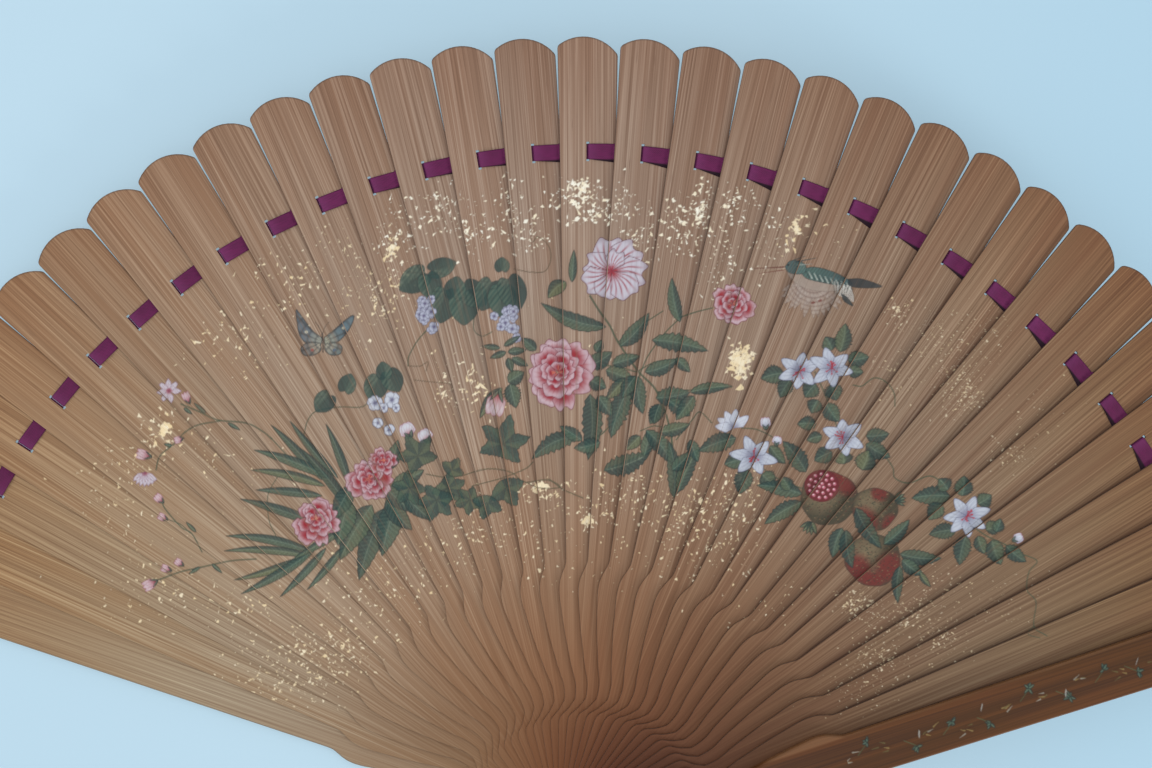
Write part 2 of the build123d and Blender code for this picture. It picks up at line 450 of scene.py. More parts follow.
class Canvas:
    """Premultiplied colour, how far paint covers the wood, and where it is gold leaf."""

    def __init__(self, w, h, s):
        self.s, self.w, self.h = s, int(w * s), int(h * s)
        self.rgb = np.zeros((self.h, self.w, 3), np.float32)
        self.cov = np.zeros((self.h, self.w), np.float32)
        self.gold = np.zeros((self.h, self.w), np.float32)

    def window(self, pts, pad=1.5):
        pts = np.asarray(pts, float)
        lo, hi = pts.min(0) - pad, pts.max(0) + pad
        x0, y0 = [max(0, int(v * self.s)) for v in lo]
        x1 = min(self.w, int(hi[0] * self.s) + 1)
        y1 = min(self.h, int(hi[1] * self.s) + 1)
        if x1 <= x0 or y1 <= y0:
            return None
        X, Y = np.meshgrid((np.arange(x0, x1) + 0.5) / self.s, (np.arange(y0, y1) + 0.5) / self.s)
        return (slice(y0, y1), slice(x0, x1)), X.astype(np.float32), Y.astype(np.float32)

    def lay(self, sl, mask, colour, gold=0.0):
        m = mask[..., None]
        self.rgb[sl] = self.rgb[sl] * (1 - m) + colour * m
        self.cov[sl] = self.cov[sl] * (1 - mask) + mask
        self.gold[sl] = self.gold[sl] * (1 - mask) + gold * mask

    def fill(self, pts, colour, alpha=1.0, gold=0.0, line=None, line_alpha=0.6, line_w=0.45):
        pts = np.asarray(pts, np.float32)
        win = self.window(pts)
        if win is None:
            return
        sl, X, Y = win
        d2 = np.full(X.shape, 1e9, np.float32)
        ins = np.zeros(X.shape, bool)
        for (ax, ay), (bx, by) in zip(pts, np.roll(pts, -1, 0)):
            ex, ey = bx - ax, by - ay
            t = np.clip(((X - ax) * ex + (Y - ay) * ey) / (ex * ex + ey * ey + 1e-9), 0, 1)
            d2 = np.minimum(d2, (X - ax - t * ex) ** 2 + (Y - ay - t * ey) ** 2)
            if ey != 0:
                ins ^= ((ay > Y) != (by > Y)) & (X < ex * (Y - ay) / ey + ax)
        sd = np.where(ins, 1, -1) * np.sqrt(d2)
        mask = np.clip(0.5 + sd * self.s * 0.9, 0, 1) * alpha
        c = colour(X, Y) if callable(colour) else lin(colour)
        self.lay(sl, mask, c, gold)
        if line is not None:
            edge = np.clip(1.2 - np.abs(sd) / line_w, 0, 1) * line_alpha
            self.lay(sl, edge, lin(line))

    def stroke(self, pts, width, colour, alpha=0.85, gold=0.0):
        pts = np.asarray(pts, np.float32)
        n = len(pts)
        w = np.broadcast_to(np.asarray(width, np.float32), (n,)) if np.ndim(width) else \
            np.full(n, width, np.float32)
        win = self.window(pts, 3)
        if win is None:
            return
        sl, X, Y = win
        mask = np.zeros(X.shape, np.float32)
        for i in range(n - 1):
            (ax, ay), (bx, by) = pts[i], pts[i + 1]
            ex, ey = bx - ax, by - ay
            t = np.clip(((X - ax) * ex + (Y - ay) * ey) / (ex * ex + ey * ey + 1e-9), 0, 1)
            d = np.sqrt((X - ax - t * ex) ** 2 + (Y - ay - t * ey) ** 2)
            mask = np.maximum(mask, np.clip(0.5 + (0.5 * (w[i] + (w[i + 1] - w[i]) * t) - d) * self.s, 0, 1))
        self.lay(sl, mask * alpha, lin(colour), gold)


def curve(points, n=10):
    """A smooth line through the points."""
    p = np.asarray(points, float)
    p = np.vstack([2 * p[0] - p[1], p, 2 * p[-1] - p[-2]])
    t = np.linspace(0, 1, n, endpoint=False)[:, None]
    out = []
    for i in range(1, len(p) - 2):
        a, b, c, d = p[i - 1], p[i], p[i + 1], p[i + 2]
        out.append(0.5 * (2 * b + (c - a) * t + (2 * a - 5 * b + 4 * c - d) * t ** 2
                          + (3 * b - a - 3 * c + d) * t ** 3))
    return np.vstack(out + [p[-2][None]])


DARK, MIDG, LIGHT, INK = lin((30, 58, 56)), lin((56, 88, 78)), lin((122, 136, 114)), lin((26, 40, 38))
OLIVE = lin((98, 104, 72))


def leaf(cv, x, y, tx, ty, wide, bow=0.0, tone=0.0, teeth=0.0, alpha=0.9):
    """A pointed leaf from its stalk (x, y) to its tip (tx, ty)."""
    L = math.hypot(tx - x, ty - y)
    ux, uy = (tx - x) / L, (ty - y) / L
    vx, vy = -uy, ux

    def w(t):
        return wide * np.clip(np.sin(np.pi * np.clip(t, 0, 1) ** 0.78), 0, 1) ** 0.85

    t = np.linspace(0, 1, 19)
    saw = 1 + teeth * np.where(np.arange(19) % 2 == 0, 1, -1) * (0.5 + np.sin(np.arange(19) * 2.7 + x) ** 2)
    mid = 4 * bow * L * t * (1 - t)
    a, b = mid + w(t) * saw, mid - w(t) * saw
    pts = [(x + ux * L * q + vx * s, y + uy * L * q + vy * s) for q, s in zip(t, a)] + \
          [(x + ux * L * q + vx * s, y + uy * L * q + vy * s) for q, s in zip(t[::-1], b[::-1])]
    nv = max(3.0, L / 4.2)
    own = (math.sin(x * 12.9 + y * 78.2) * 437.585) % 1.0
    tone = tone + 0.9 * (own - 0.45)
    base = blend_c(MIDG, OLIVE, np.array(min(1.0, tone))) if tone > 0 else \
        blend_c(MIDG, DARK, np.array(min(1.0, -tone)))

    def shade(X, Y):
        al = ((X - x) * ux + (Y - y) * uy) / L
        cr = (X - x) * vx + (Y - y) * vy - 4 * bow * L * al * (1 - al)
        s = cr / (w(al) + 0.25)
        c = blend_c(base, DARK, smooth(-0.05, 0.45, s) * 0.80 + 0.15 * smooth(0.4, 1, np.abs(s)))
        c = blend_c(c, OLIVE, 0.34 * smooth(0.10, -0.55, s))
        vein = (0.5 + 0.5 * np.cos(2 * np.pi * (al * nv - np.abs(s) * 1.3))) ** 5
        c = blend_c(c, INK, 0.40 * vein * smooth(0.05, 0.3, np.abs(s)))
        gap = (0.5 - 0.5 * np.cos(2 * np.pi * (al * nv - np.abs(s) * 1.3))) ** 3
        c = blend_c(c, LIGHT, 0.12 * gap)
        wash = np.sin(X * 1.9 + 2 * np.sin(Y * 0.7 + own * 9)) * np.sin(Y * 1.6 + 2 * np.sin(X * 0.8))
        c = c * (1 + 0.22 * wash[..., None])
        c = blend_c(c, LIGHT, 0.55 * np.exp(-(cr / 0.38) ** 2) * smooth(1.0, 0.8, al))
        return c

    cv.fill(pts, shade, alpha, line=(24, 36, 34), line_alpha=0.75, line_w=0.55)


def lobed(cv, x, y, ang, R, lobes=5, tone=0.0, sharp=0.30):
    """An ivy or maple kind of leaf; ang is the way its middle lobe points."""
    a0 = math.radians(ang)
    spread = math.radians(62 if lobes == 5 else 80)
    centres = [(i - (lobes - 1) / 2) * spread for i in range(lobes)]
    phi = np.linspace(-np.pi, np.pi, 61)[:-1]
    r = np.full(phi.shape, 0.42)
    for c in centres:
        g = 1.0 - 0.16 * abs(c) / spread
        r = np.maximum(r, 0.42 + (0.58 * g) * np.exp(-np.abs((phi - c) / sharp) ** 1.3))
    r *= 1 + 0.05 * np.sin(phi * 23)
    pts = np.stack([x + R * r * np.cos(phi + a0), y - R * r * np.sin(phi + a0)], 1)
    base = blend_c(MIDG, OLIVE, np.array(max(0.0, tone)))

    def shade(X, Y):
        p = np.arctan2(-(Y - y), X - x) - a0
        p = (p + np.pi) % (2 * np.pi) - np.pi
        d = np.hypot(X - x, Y - y) / R
        nearest = np.full(X.shape, 9.0)
        sign = np.zeros(X.shape)
        for c in centres:
            q = (p - c + np.pi) % (2 * np.pi) - np.pi
            take = np.abs(q) < np.abs(nearest)
            nearest = np.where(take, q, nearest)
        c = blend_c(base, DARK, 0.25 + 0.55 * smooth(-0.1, 0.35, nearest) - 0.2 * smooth(0.6, 1, d))
        side = (0.5 + 0.5 * np.cos(2 * np.pi * (d * 6 - np.abs(nearest) * 3))) ** 5
        c = blend_c(c, INK, 0.40 * side)
        wash = np.sin(X * 1.7 + 2 * np.sin(Y * 0.6)) * np.sin(Y * 1.5 + 2 * np.sin(X * 0.7))
        c = c * (1 + 0.20 * wash[..., None])
        c = blend_c(c, OLIVE, 0.30 * smooth(0.05, -0.4, nearest))
        return blend_c(c, INK, 0.55 * np.exp(-(nearest * d * R / 0.45) ** 2) * smooth(1.0, 0.7, d))

    cv.fill(pts, shade, 0.9, line=(24, 36, 34), line_alpha=0.75, line_w=0.55)


def round_leaf(cv, x, y, ang, R, tall=1.0, tone=0.0):
    """A heart-shaped leaf hanging the way of ang."""
    a0 = math.radians(ang)
    phi = np.linspace(-np.pi, np.pi, 37)[:-1]
    r = 1 - 0.38 * np.exp(-((np.abs(phi) - np.pi) / 0.38) ** 2) + 0.16 * np.exp(-(phi / 0.3) ** 2)
    px, py = R * r * np.cos(phi) * tall, R * r * np.sin(phi)
    c, s = math.cos(a0), math.sin(a0)
    pts = np.stack([x + px * c - py * s, y - (px * s + py * c)], 1)
    base = blend_c(DARK, MIDG, np.array(0.5 + tone * 0.5))

    def shade(X, Y):
        dx, dy = X - x, -(Y - y)
        al, cr = dx * c + dy * s + R * 0.75, -dx * s + dy * c
        p = np.arctan2(cr, al)
        d = np.hypot(al, cr) / (1.75 * R)
        f = blend_c(base, DARK, 0.2 + 0.6 * smooth(-0.2, 0.7, p))
        vein = (0.5 + 0.5 * np.cos(p * 9)) ** 8
        f = blend_c(f, LIGHT, 0.35 * smooth(0.1, -0.6, p) * (0.6 + 0.4 * np.sin(X * 1.3 + Y)))
        return blend_c(f, INK, 0.50 * vein * smooth(1.0, 0.5, d))

    cv.fill(pts, shade, 0.9, line=(26, 40, 40), line_alpha=0.5, line_w=0.5)


def petal(cv, cx, cy, ang, start, L, wide, inner, outer, edge, streak=0.0, frill=0.10, reach=0.45,
          point=0.0, alpha=0.95, line_alpha=0.55, notch=0.0, dark_to=0.05, soft=0.25):
    """One petal that starts `start` from the flower's middle and is L long."""
    a = math.radians(ang)
    ux, uy = math.cos(a), -math.sin(a)
    vx, vy = -uy, ux
    x, y = cx + ux * start, cy + uy * start
    t = np.linspace(-1, 1, 23)
    top = L * (1 - (0.22 + 0.5 * point) * np.abs(t) ** (2.2 - point)) * (1 + frill * np.cos(t * 6.5 + ang)) \
        * (1 - notch * np.exp(-(t / 0.22) ** 2))
    side = wide * np.sign(t) * np.abs(t) ** (0.8 + 0.5 * point)
    pts = [(x, y)] + [(x + ux * h + vx * w, y + uy * h + vy * w) for h, w in zip(top * (1 - soft * np.abs(t) ** 5), side)]
    inner, outer, edge = lin(inner), lin(outer), lin(edge)

    def shade(X, Y):
        al, cr = (X - x) * ux + (Y - y) * uy, (X - x) * vx + (Y - y) * vy
        d = np.hypot(al, cr) / L
        ph = np.arctan2(cr, al + 1e-6)
        c = blend_c(inner, outer, smooth(dark_to, reach, d))
        if streak:
            s = (0.5 + 0.5 * np.cos(ph * 24 + 2 * np.sin(d * 5))) ** 4
            c = blend_c(c, inner, streak * s * smooth(1.02, 0.55, d))
        c = blend_c(c, edge, 0.35 * smooth(0.80, 1.0, d))
        return blend_c(c, outer * 0.80, 0.35 * smooth(0.1, 0.9, np.abs(ph)))

    cv.fill(pts, shade, alpha, line=tuple(int(v) for v in (edge ** (1 / 2.2)) * 255), line_alpha=line_alpha,
            line_w=0.42)


PINK = ((148, 14, 36), (206, 180, 188), (116, 26, 48))


def peony(cv, x, y, R, squash_y=1.0, seed=0, n=(8, 7, 5, 3)):
    """A full flower: rings of broad rounded petals, crimson where they overlap."""
    r = np.random.default_rng(seed)
    for ring, count in enumerate(n):
        start = R * (0.30, 0.15, 0.05, 0.0)[ring]
        length = R * (0.70, 0.62, 0.48, 0.30)[ring]
        turn = r.uniform(0, 360)
        shift = (0.0, -0.06, -0.10, -0.06)[ring] * R
        for i in range(count):
            ang = turn + 360.0 * i / count + r.uniform(-13, 13)
            k = 1 - (1 - squash_y) * abs(math.sin(math.radians(ang)))
            petal(cv, x + r.uniform(-1, 1) * 0.05 * R, y + shift + r.uniform(-1, 1) * 0.05 * R, ang, start * k,
                  length * k * r.uniform(0.80, 1.12), R * (0.36, 0.32, 0.27, 0.20)[ring] * r.uniform(0.8, 1.15),
                  *PINK, frill=0.03, reach=r.uniform(0.88, 1.05), line_alpha=0.85, notch=r.uniform(0, 0.22),
                  dark_to=r.uniform(0.40, 0.60), streak=0.45, soft=0.42)
    for i in range(9):
        a, d = r.uniform(0, 6.3), r.uniform(0, 0.10) * R
        cv.stroke([(x + d * math.cos(a), y - 0.06 * R + d * math.sin(a)),
                   (x + (d + 0.10 * R) * math.cos(a), y - 0.06 * R + (d + 0.10 * R) * math.sin(a))], 0.6, (206, 120, 96), 0.8)


def wide_bloom(cv, x, y, R, seed=1):
    """An open flower of seven uneven frilled petals with crimson rays from the throat."""
    for ang, L, w, f in ((96, 0.94, 0.54, 0.05), (158, 0.78, 0.44, -0.06), (46, 1.00, 0.52, 0.05), (212, 0.88, 0.46, -0.05),
                         (-4, 0.98, 0.50, 0.06), (258, 0.80, 0.44, 0.05), (312, 0.92, 0.48, -0.05), (72, 0.60, 0.30, 0.05)):
        petal(cv, x - 1.5, y + 3.0, ang, 0.5, R * L * 1.08, R * w, (150, 14, 34), (198, 192, 204), (92, 28, 48), streak=1.0,
              frill=f, reach=0.44, line_alpha=0.95, notch=0.10, dark_to=0.04, soft=0.40)
    r = np.random.default_rng(seed)
    for i in range(10):
        a = r.uniform(0, 6.3)
        cv.stroke([(x - 1.5, y + 3.0), (x - 1.5 + 0.16 * R * math.cos(a), y + 3.0 + 0.16 * R * math.sin(a))], 0.55,
                  (150, 34, 50), 0.8)


def star(cv, x, y, R, turn=90, n=6, seed=2, tilt=1.0):
    """A white six-pointed flower with red stamens."""
    r = np.random.default_rng(seed)
    for i in range(n):
        ang = turn + 360.0 * i / n + r.uniform(-9, 9)
        k = 1 - (1 - tilt) * abs(math.sin(math.radians(ang)))
        petal(cv, x, y, ang, 0.0, R * k * r.uniform(0.88, 1.08), R * 0.27, (128, 128, 152), (188, 194, 208),
              (84, 80, 108), streak=0.4, frill=0.0, reach=0.6, point=0.5, line_alpha=0.8)
    for i in range(9):
        a = r.uniform(0, 2 * math.pi)
        d = R * r.uniform(0.16, 0.34)
        e = (x + d * math.cos(a), y + d * math.sin(a))
        cv.stroke([(x, y), e], 0.75, (158, 30, 46), 0.9)
        cv.stroke([e, (e[0] + 0.4, e[1])], 1.5, (172, 40, 52), 0.9)


def cluster(cv, x, y, w, h, n, seed=3):
    """A hanging cluster of small lilac florets."""
    r = np.random.default_rng(seed)
    for i in range(n):
        v = r.uniform(0, 1)
        cx = x + r.uniform(-1, 1) * w * (1 - 0.65 * v)
        cy = y + (v - 0.4) * h
        R = r.uniform(3.8, 5.6)
        t = r.uniform(0, 90)
        for j in range(4):
            petal(cv, cx, cy, t + 90 * j, 0, R, R * 0.55, (104, 98, 128), (178, 180, 198), (74, 70, 98),
                  frill=0.0, reach=0.7, line_alpha=0.5, soft=0.4)
        cv.stroke([(cx, cy), (cx + 0.3, cy)], 1.1, (84, 62, 110), 0.8)


def bud(cv, x, y, tx, ty, wide, inner=(150, 40, 58), outer=(204, 178, 184)):
    L = math.hypot(tx - x, ty - y)
    ang = math.degrees(math.atan2(-(ty - y), tx - x))
    for off in (-14, 14, 0):
        petal(cv, x, y, ang + off, 0, L, wide * 0.75, inner, outer, (150, 60, 82), streak=0.3, frill=0, reach=0.75,
              point=0.35, line_alpha=0.5)
    a = math.radians(ang)
    for s in (-1, 1):
        leaf(cv, x, y, x + 0.5 * L * math.cos(a + 0.5 * s), y - 0.5 * L * math.sin(a + 0.5 * s), wide * 0.22)


def fruit(cv, x, y, R, seed=4, opened=False, reds=((0.55, -0.5, 0.4),), lean=0.0):
    """A round speckled fruit with a calyx crown; an opened one shows its seeds."""
    r = np.random.default_rng(seed)
    phi = np.linspace(0, 2 * np.pi, 40)[:-1]
    wob = 1 + 0.03 * np.sin(3 * phi + seed) + 0.02 * np.sin(7 * phi)
    pts = np.stack([x + R * wob * np.cos(phi), y + R * 0.93 * wob * np.sin(phi)], 1)

    def shade(X, Y):
        dx, dy = (X - x) / R, (Y - y) / R
        d = np.hypot(dx, dy)
        c = blend_c(lin((112, 98, 74)), lin((62, 58, 42)), smooth(0.2, 1.0, np.hypot(dx + 0.25, dy + 0.2)))
        for rx, ry, rr in reds:
            c = blend_c(c, lin((108, 26, 26)), smooth(rr, rr * 0.45, np.hypot(dx - rx, dy - ry)) * 0.92)
        return blend_c(c, lin((56, 50, 38)), 0.55 * smooth(0.82, 1.0, d))

    cv.fill(pts, shade, 0.93, line=(46, 40, 32), line_alpha=0.6)
    for i in range(int(R * 11)):
        a, d = r.uniform(0, 6.3), R * 0.92 * math.sqrt(r.uniform(0, 1))
        e = (x + d * math.cos(a), y + 0.93 * d * math.sin(a))
        cv.stroke([e, (e[0] + 0.2, e[1])], r.uniform(0.7, 1.2), (34, 48, 36) if r.uniform() < 0.62 else (84, 26, 24) if r.uniform() < 0.6 else (140, 116, 84), 0.7)
    if opened:
        ox, oy, q = x - 0.25 * R, y - 0.42 * R, 0.60 * R
        cv.fill(np.stack([ox + q * np.cos(phi), oy + 0.92 * q * np.sin(phi)], 1), (104, 24, 34), 0.95,
                line=(80, 20, 26))
        for ring, m in ((0.74, 13), (0.44, 8), (0.14, 3)):
            for i in range(m):
                a = 2 * math.pi * i / m + ring * 5
                sx, sy = ox + q * ring * math.cos(a), oy + 0.92 * q * ring * math.sin(a)
                cv.stroke([(sx, sy), (sx + 0.3, sy + 0.3)], 3.0, (190, 104, 122), 0.95)
                cv.stroke([(sx - 0.4, sy - 0.4), (sx - 0.2, sy - 0.4)], 1.3, (232, 206, 206), 0.95)


def crown(cv, x, y, ang, R):
    for off in (-42, -20, 0, 22, 44):
        a = math.radians(ang + off)
        leaf(cv, x, y, x + R * math.cos(a), y - R * math.sin(a), R * 0.18, tone=0.6)


def gold_bits(cv, x, y, sx, sy, n, size=1.0, seed=0):
    r = np.random.default_rng(seed)
    dusty = x > 800 and y > 300
    for i in range(int(n * (3.0 if dusty else 1.9))):
        cx, cy = r.normal(x, sx * (0.85 if dusty else 1)), r.normal(y, sy * (0.85 if dusty else 1))
        R = size * (0.60 + 1.40 * r.uniform() ** 2.2) * (0.62 if dusty else 1)
        m = int(r.integers(4, 8))
        phi = np.sort(r.uniform(0, 2 * np.pi, m))
        rad = R * r.uniform(0.35, 1.35, m)
        st, turn = r.uniform(0.9, 1.5), r.uniform(0, np.pi)
        dx, dy = rad * np.cos(phi) * st, rad * np.sin(phi) / st
        pts = np.stack([cx + dx * np.cos(turn) - dy * np.sin(turn), cy + dx * np.sin(turn) + dy * np.cos(turn)], 1)
        warm = r.uniform(0, 1) + (0.0 if 400 < x < 780 and y < 300 else 0.9)
        cv.fill(pts, (255 - 10 * warm, 251 - 22 * warm, 234 - 38 * warm),
                r.uniform(0.55, 0.95) if dusty else r.uniform(0.85, 1.0), gold=1.0)


def paint_fan():
    cv = Canvas(1152, 768, UNIT_SCALE)
    # fine gold leaf first, so that the flowers lie over it
    for i, (x, y, sx, sy, n, size) in enumerate([
            (232, 345, 20, 16, 46, 1.3), (285, 285, 22, 24, 46, 1.3), (335, 262, 20, 20, 34, 1.2),
            (368, 300, 18, 24, 44, 1.1), (402, 228, 13, 22, 44, 1.3), (392, 285, 14, 14, 44, 1.3),
            (438, 208, 12, 16, 36, 1.3), (470, 232, 14, 16, 40, 1.3), (508, 205, 9, 16, 34, 1.4),
            (528, 232, 12, 12, 36, 1.3), (580, 196, 14, 10, 52, 1.5), (596, 212, 10, 8, 34, 1.5),
            (624, 205, 10, 12, 26, 1.4), (642, 238, 10, 12, 34, 1.4), (688, 226, 13, 16, 52, 1.5),
            (706, 196, 8, 12, 22, 1.4), (738, 205, 12, 12, 34, 1.3), (722, 262, 12, 20, 36, 1.1),
            (764, 238, 12, 20, 28, 1.1), (798, 226, 12, 14, 18, 1.5), (838, 240, 14, 12, 10, 1.2),
            (900, 312, 8, 10, 16, 1.6), (930, 340, 20, 20, 36, 0.9), (955, 372, 20, 24, 80, 1.0),
            (968, 398, 12, 10, 40, 1.1), (892, 372, 12, 18, 22, 0.9), (985, 330, 18, 16, 26, 0.9),
            (1012, 456, 14, 10, 24, 1.0), (1040, 420, 24, 22, 20, 0.9),
            (160, 432, 14, 14, 34, 1.4), (205, 452, 14, 16, 20, 1.2), (128, 470, 22, 18, 26, 1.1),
            (110, 500, 20, 22, 26, 1.2), (240, 470, 28, 24, 14, 0.9), (150, 555, 24, 20, 18, 1.1),
            (186, 592, 26, 16, 28, 1.2), (130, 600, 26, 24, 22, 1.1), (250, 610, 26, 14, 24, 1.2),
            (290, 655, 30, 14, 76, 1.2), (338, 652, 20, 18, 66, 1.2), (300, 690, 30, 14, 48, 1.1),
            (240, 690, 34, 16, 30, 1.0), (345, 600, 30, 24, 44, 1.1), (395, 575, 24, 20, 30, 1.1),
            (440, 552, 22, 22, 38, 1.1), (405, 610, 20, 20, 18, 0.9), (480, 530, 22, 22, 34, 1.1),
            (530, 530, 22, 20, 34, 1.1), (545, 492, 16, 8, 22, 1.4), (590, 500, 20, 18, 44, 1.2),
            (640, 495, 20, 18, 48, 1.2), (690, 512, 20, 16, 60, 1.3), (728, 506, 18, 16, 56, 1.3),
            (748, 482, 12, 10, 22, 1.2), (690, 548, 20, 14, 30, 1.0), (742, 545, 24, 18, 36, 0.9),
            (770, 600, 26, 16, 22, 0.8), (860, 602, 16, 10, 44, 1.2), (905, 618, 26, 12, 70, 1.0),
            (880, 655, 22, 14, 66, 1.0), (930, 590, 22, 14, 34, 1.0), (945, 640, 18, 12, 34, 0.9),
            (850, 690, 26, 14, 34, 0.8), (1000, 600, 26, 20, 22, 0.8), (445, 392, 5, 9, 16, 1.7),
            (472, 384, 8, 8, 20, 1.9), (455, 362, 18, 12, 10, 1.0), (470, 400, 14, 10, 12, 1.0),
            (600, 330, 60, 34, 14, 0.8), (640, 560, 44, 24, 26, 0.8), (560, 570, 40, 24, 18, 0.8)]):
        gold_bits(cv, x, y, sx, sy, n, size, 100 + i)
    for (x, y, sx, sy, n, s) in [(740, 360, 5.8, 8.5, 80, 2.3), (589, 521, 2.6, 3.2, 22, 2.2),
                                 (164, 430, 3.0, 3.0, 18, 2.0), (797, 228, 3.0, 3.2, 14, 2.0),
                                 (700, 214, 2.5, 4, 14, 1.9), (580, 186, 5, 3, 20, 1.9),
                                 (541, 486, 4, 2, 14, 1.9), (392, 250, 3, 6, 18, 1.9)]:
        gold_bits(cv, x, y, sx, sy, n, s, int(x * 7 + y))

    stem, brown = (62, 76, 56), (92, 78, 58)
    S = cv.stroke
    # left: arching sprays with small buds
    for pts, w in [
            ([(181, 404), (200, 412), (218, 420), (246, 423), (262, 431), (272, 439)], 1.5),
            ([(220, 421), (198, 425), (184, 433), (175, 443), (160, 456), (156, 470)], 1.4),
            ([(162, 502), (166, 510), (181, 527), (192, 534), (202, 552)], 1.3),
            ([(146, 585), (161, 579), (180, 572), (198, 568), (230, 561), (256, 559)], 1.5),
            ([(190, 533), (180, 524), (163, 518)], 0.9), ([(271, 438), (284, 452), (300, 470)], 1.2),
            ([(304, 434), (308, 420), (317, 411), (340, 407), (361, 407), (372, 399)], 1.1),
            ([(278, 476), (268, 495), (269, 520), (276, 536)], 0.9)]:
        S(curve(pts), w, stem, 0.85)
    for x, y, tx, ty, w in [(184, 438, 174, 441, 3), (152, 457, 136, 453, 4), (164, 503, 155, 495, 3.4),
                            (168, 520, 158, 515, 3), (158, 580, 143, 588, 4.2), (172, 571, 161, 567, 3),
                            (184, 566, 175, 560, 3), (190, 404, 184, 392, 3)]:
        bud(cv, x, y, tx, ty, w)
    for i, (x, y, R) in enumerate([(169, 391, 12), (145, 480, 11)]):
        for j in range(7):
            ang = (j * 47 + i * 20) % 360 if i == 0 else 215 + j * 18
            petal(cv, x, y - (0 if i == 0 else 8), ang, 0, R * (1.0 if i == 0 else 1.3), R * 0.26, (150, 32, 52),
                  (198, 190, 200), (120, 70, 96), streak=0.5, frill=0.05, reach=0.4, point=0.3)
    for x, y, tx, ty in [(206, 413, 194, 403), (228, 423, 240, 430), (196, 532, 186, 522), (212, 564, 222, 573),
                         (200, 567, 189, 574), (172, 446, 164, 444), (184, 408, 192, 414)]:
        leaf(cv, x, y, tx, ty, 1.8, tone=0.2)

    # left: blade-like leaves behind two peonies
    for x, y, tx, ty, w, bow, tone in [
            (322, 480, 271, 425, 4.4, 0.02, -.3), (338, 478, 290, 421, 4.2, -0.02, 0), (350, 486, 326, 424, 4.4, 0.02, -.4),
            (330, 478, 254, 450, 5.2, 0.03, 0), (325, 486, 251, 470, 4.6, 0.04, .4), (322, 496, 256, 490, 4.4, 0.02, -.2),
            (318, 524, 240, 499, 5.0, 0.02, -.3), (312, 552, 226, 536, 4.6, 0.05, 0), (310, 556, 224, 551, 4.0, 0.04, .5),
            (308, 556, 234, 580, 4.0, -0.03, .8), (316, 548, 241, 594, 4.8, -0.03, -.4), (326, 548, 280, 597, 4.0, -0.02, .1),
            (344, 546, 307, 590, 3.8, -0.02, .5), (352, 512, 300, 448, 5.2, 0.03, -.5), (346, 528, 292, 560, 4.0, 0, .2)]:
        leaf(cv, x, y, tx, ty, w, bow, tone)
    for x, y, tx, ty, w, tone in [
            (385, 508, 359, 580, 11, -.3), (372, 505, 340, 560, 12, .4), (398, 500, 382, 556, 12, .3),
            (350, 500, 338, 545, 12, .1), (386, 500, 412, 530, 9, -.4), (384, 486, 414, 512, 8, .2),
            (352, 486, 334, 520, 9, -.2), (392, 486, 424, 470, 8, .3), (404, 494, 432, 520, 8, -.2),
            (388, 470, 398, 440, 7, .2)]:
        leaf(cv, x, y, tx, ty, w, 0.03, tone, teeth=0.05)
    for x, y, a, R, t in [(325, 401, 230, 10.5, -.2), (347, 385, 70, 9, .3), (376, 386, 250, 12, .2),
                          (392, 379, 300, 11, -.3), (384, 372, 100, 8, .3)]:
        round_leaf(cv, x, y, a, R, 1.15, t)
    for i, (x, y, R) in enumerate([(375, 403, 8), (392, 400, 8.5), (384, 408, 6), (378, 423, 8), (389, 430, 8), (396, 408, 5)]):
        for ang in (20, 95, 165, 240, 310):
            petal(cv, x, y, ang + i * 23, 0, R * (0.8 + 0.2 * math.sin(i + ang)), R * 0.55, (112, 108, 140), (200, 204, 216),
                  (80, 76, 104), frill=0.0, reach=0.6, line_alpha=0.6, soft=0.4)
    bud(cv, 411, 438, 404, 423, 8.5, (158, 26, 44), (206, 206, 214))
    bud(cv, 430, 443, 421, 430, 8.0, (158, 26, 44), (206, 206, 214))
    peony(cv, 316, 521, 25, 1.0, 41, (7, 6, 5, 3))
    peony(cv, 369, 480, 24, 0.95, 42, (7, 6, 5, 3))
    peony(cv, 383, 461, 15, 1.0, 43, (6, 5, 3, 2))

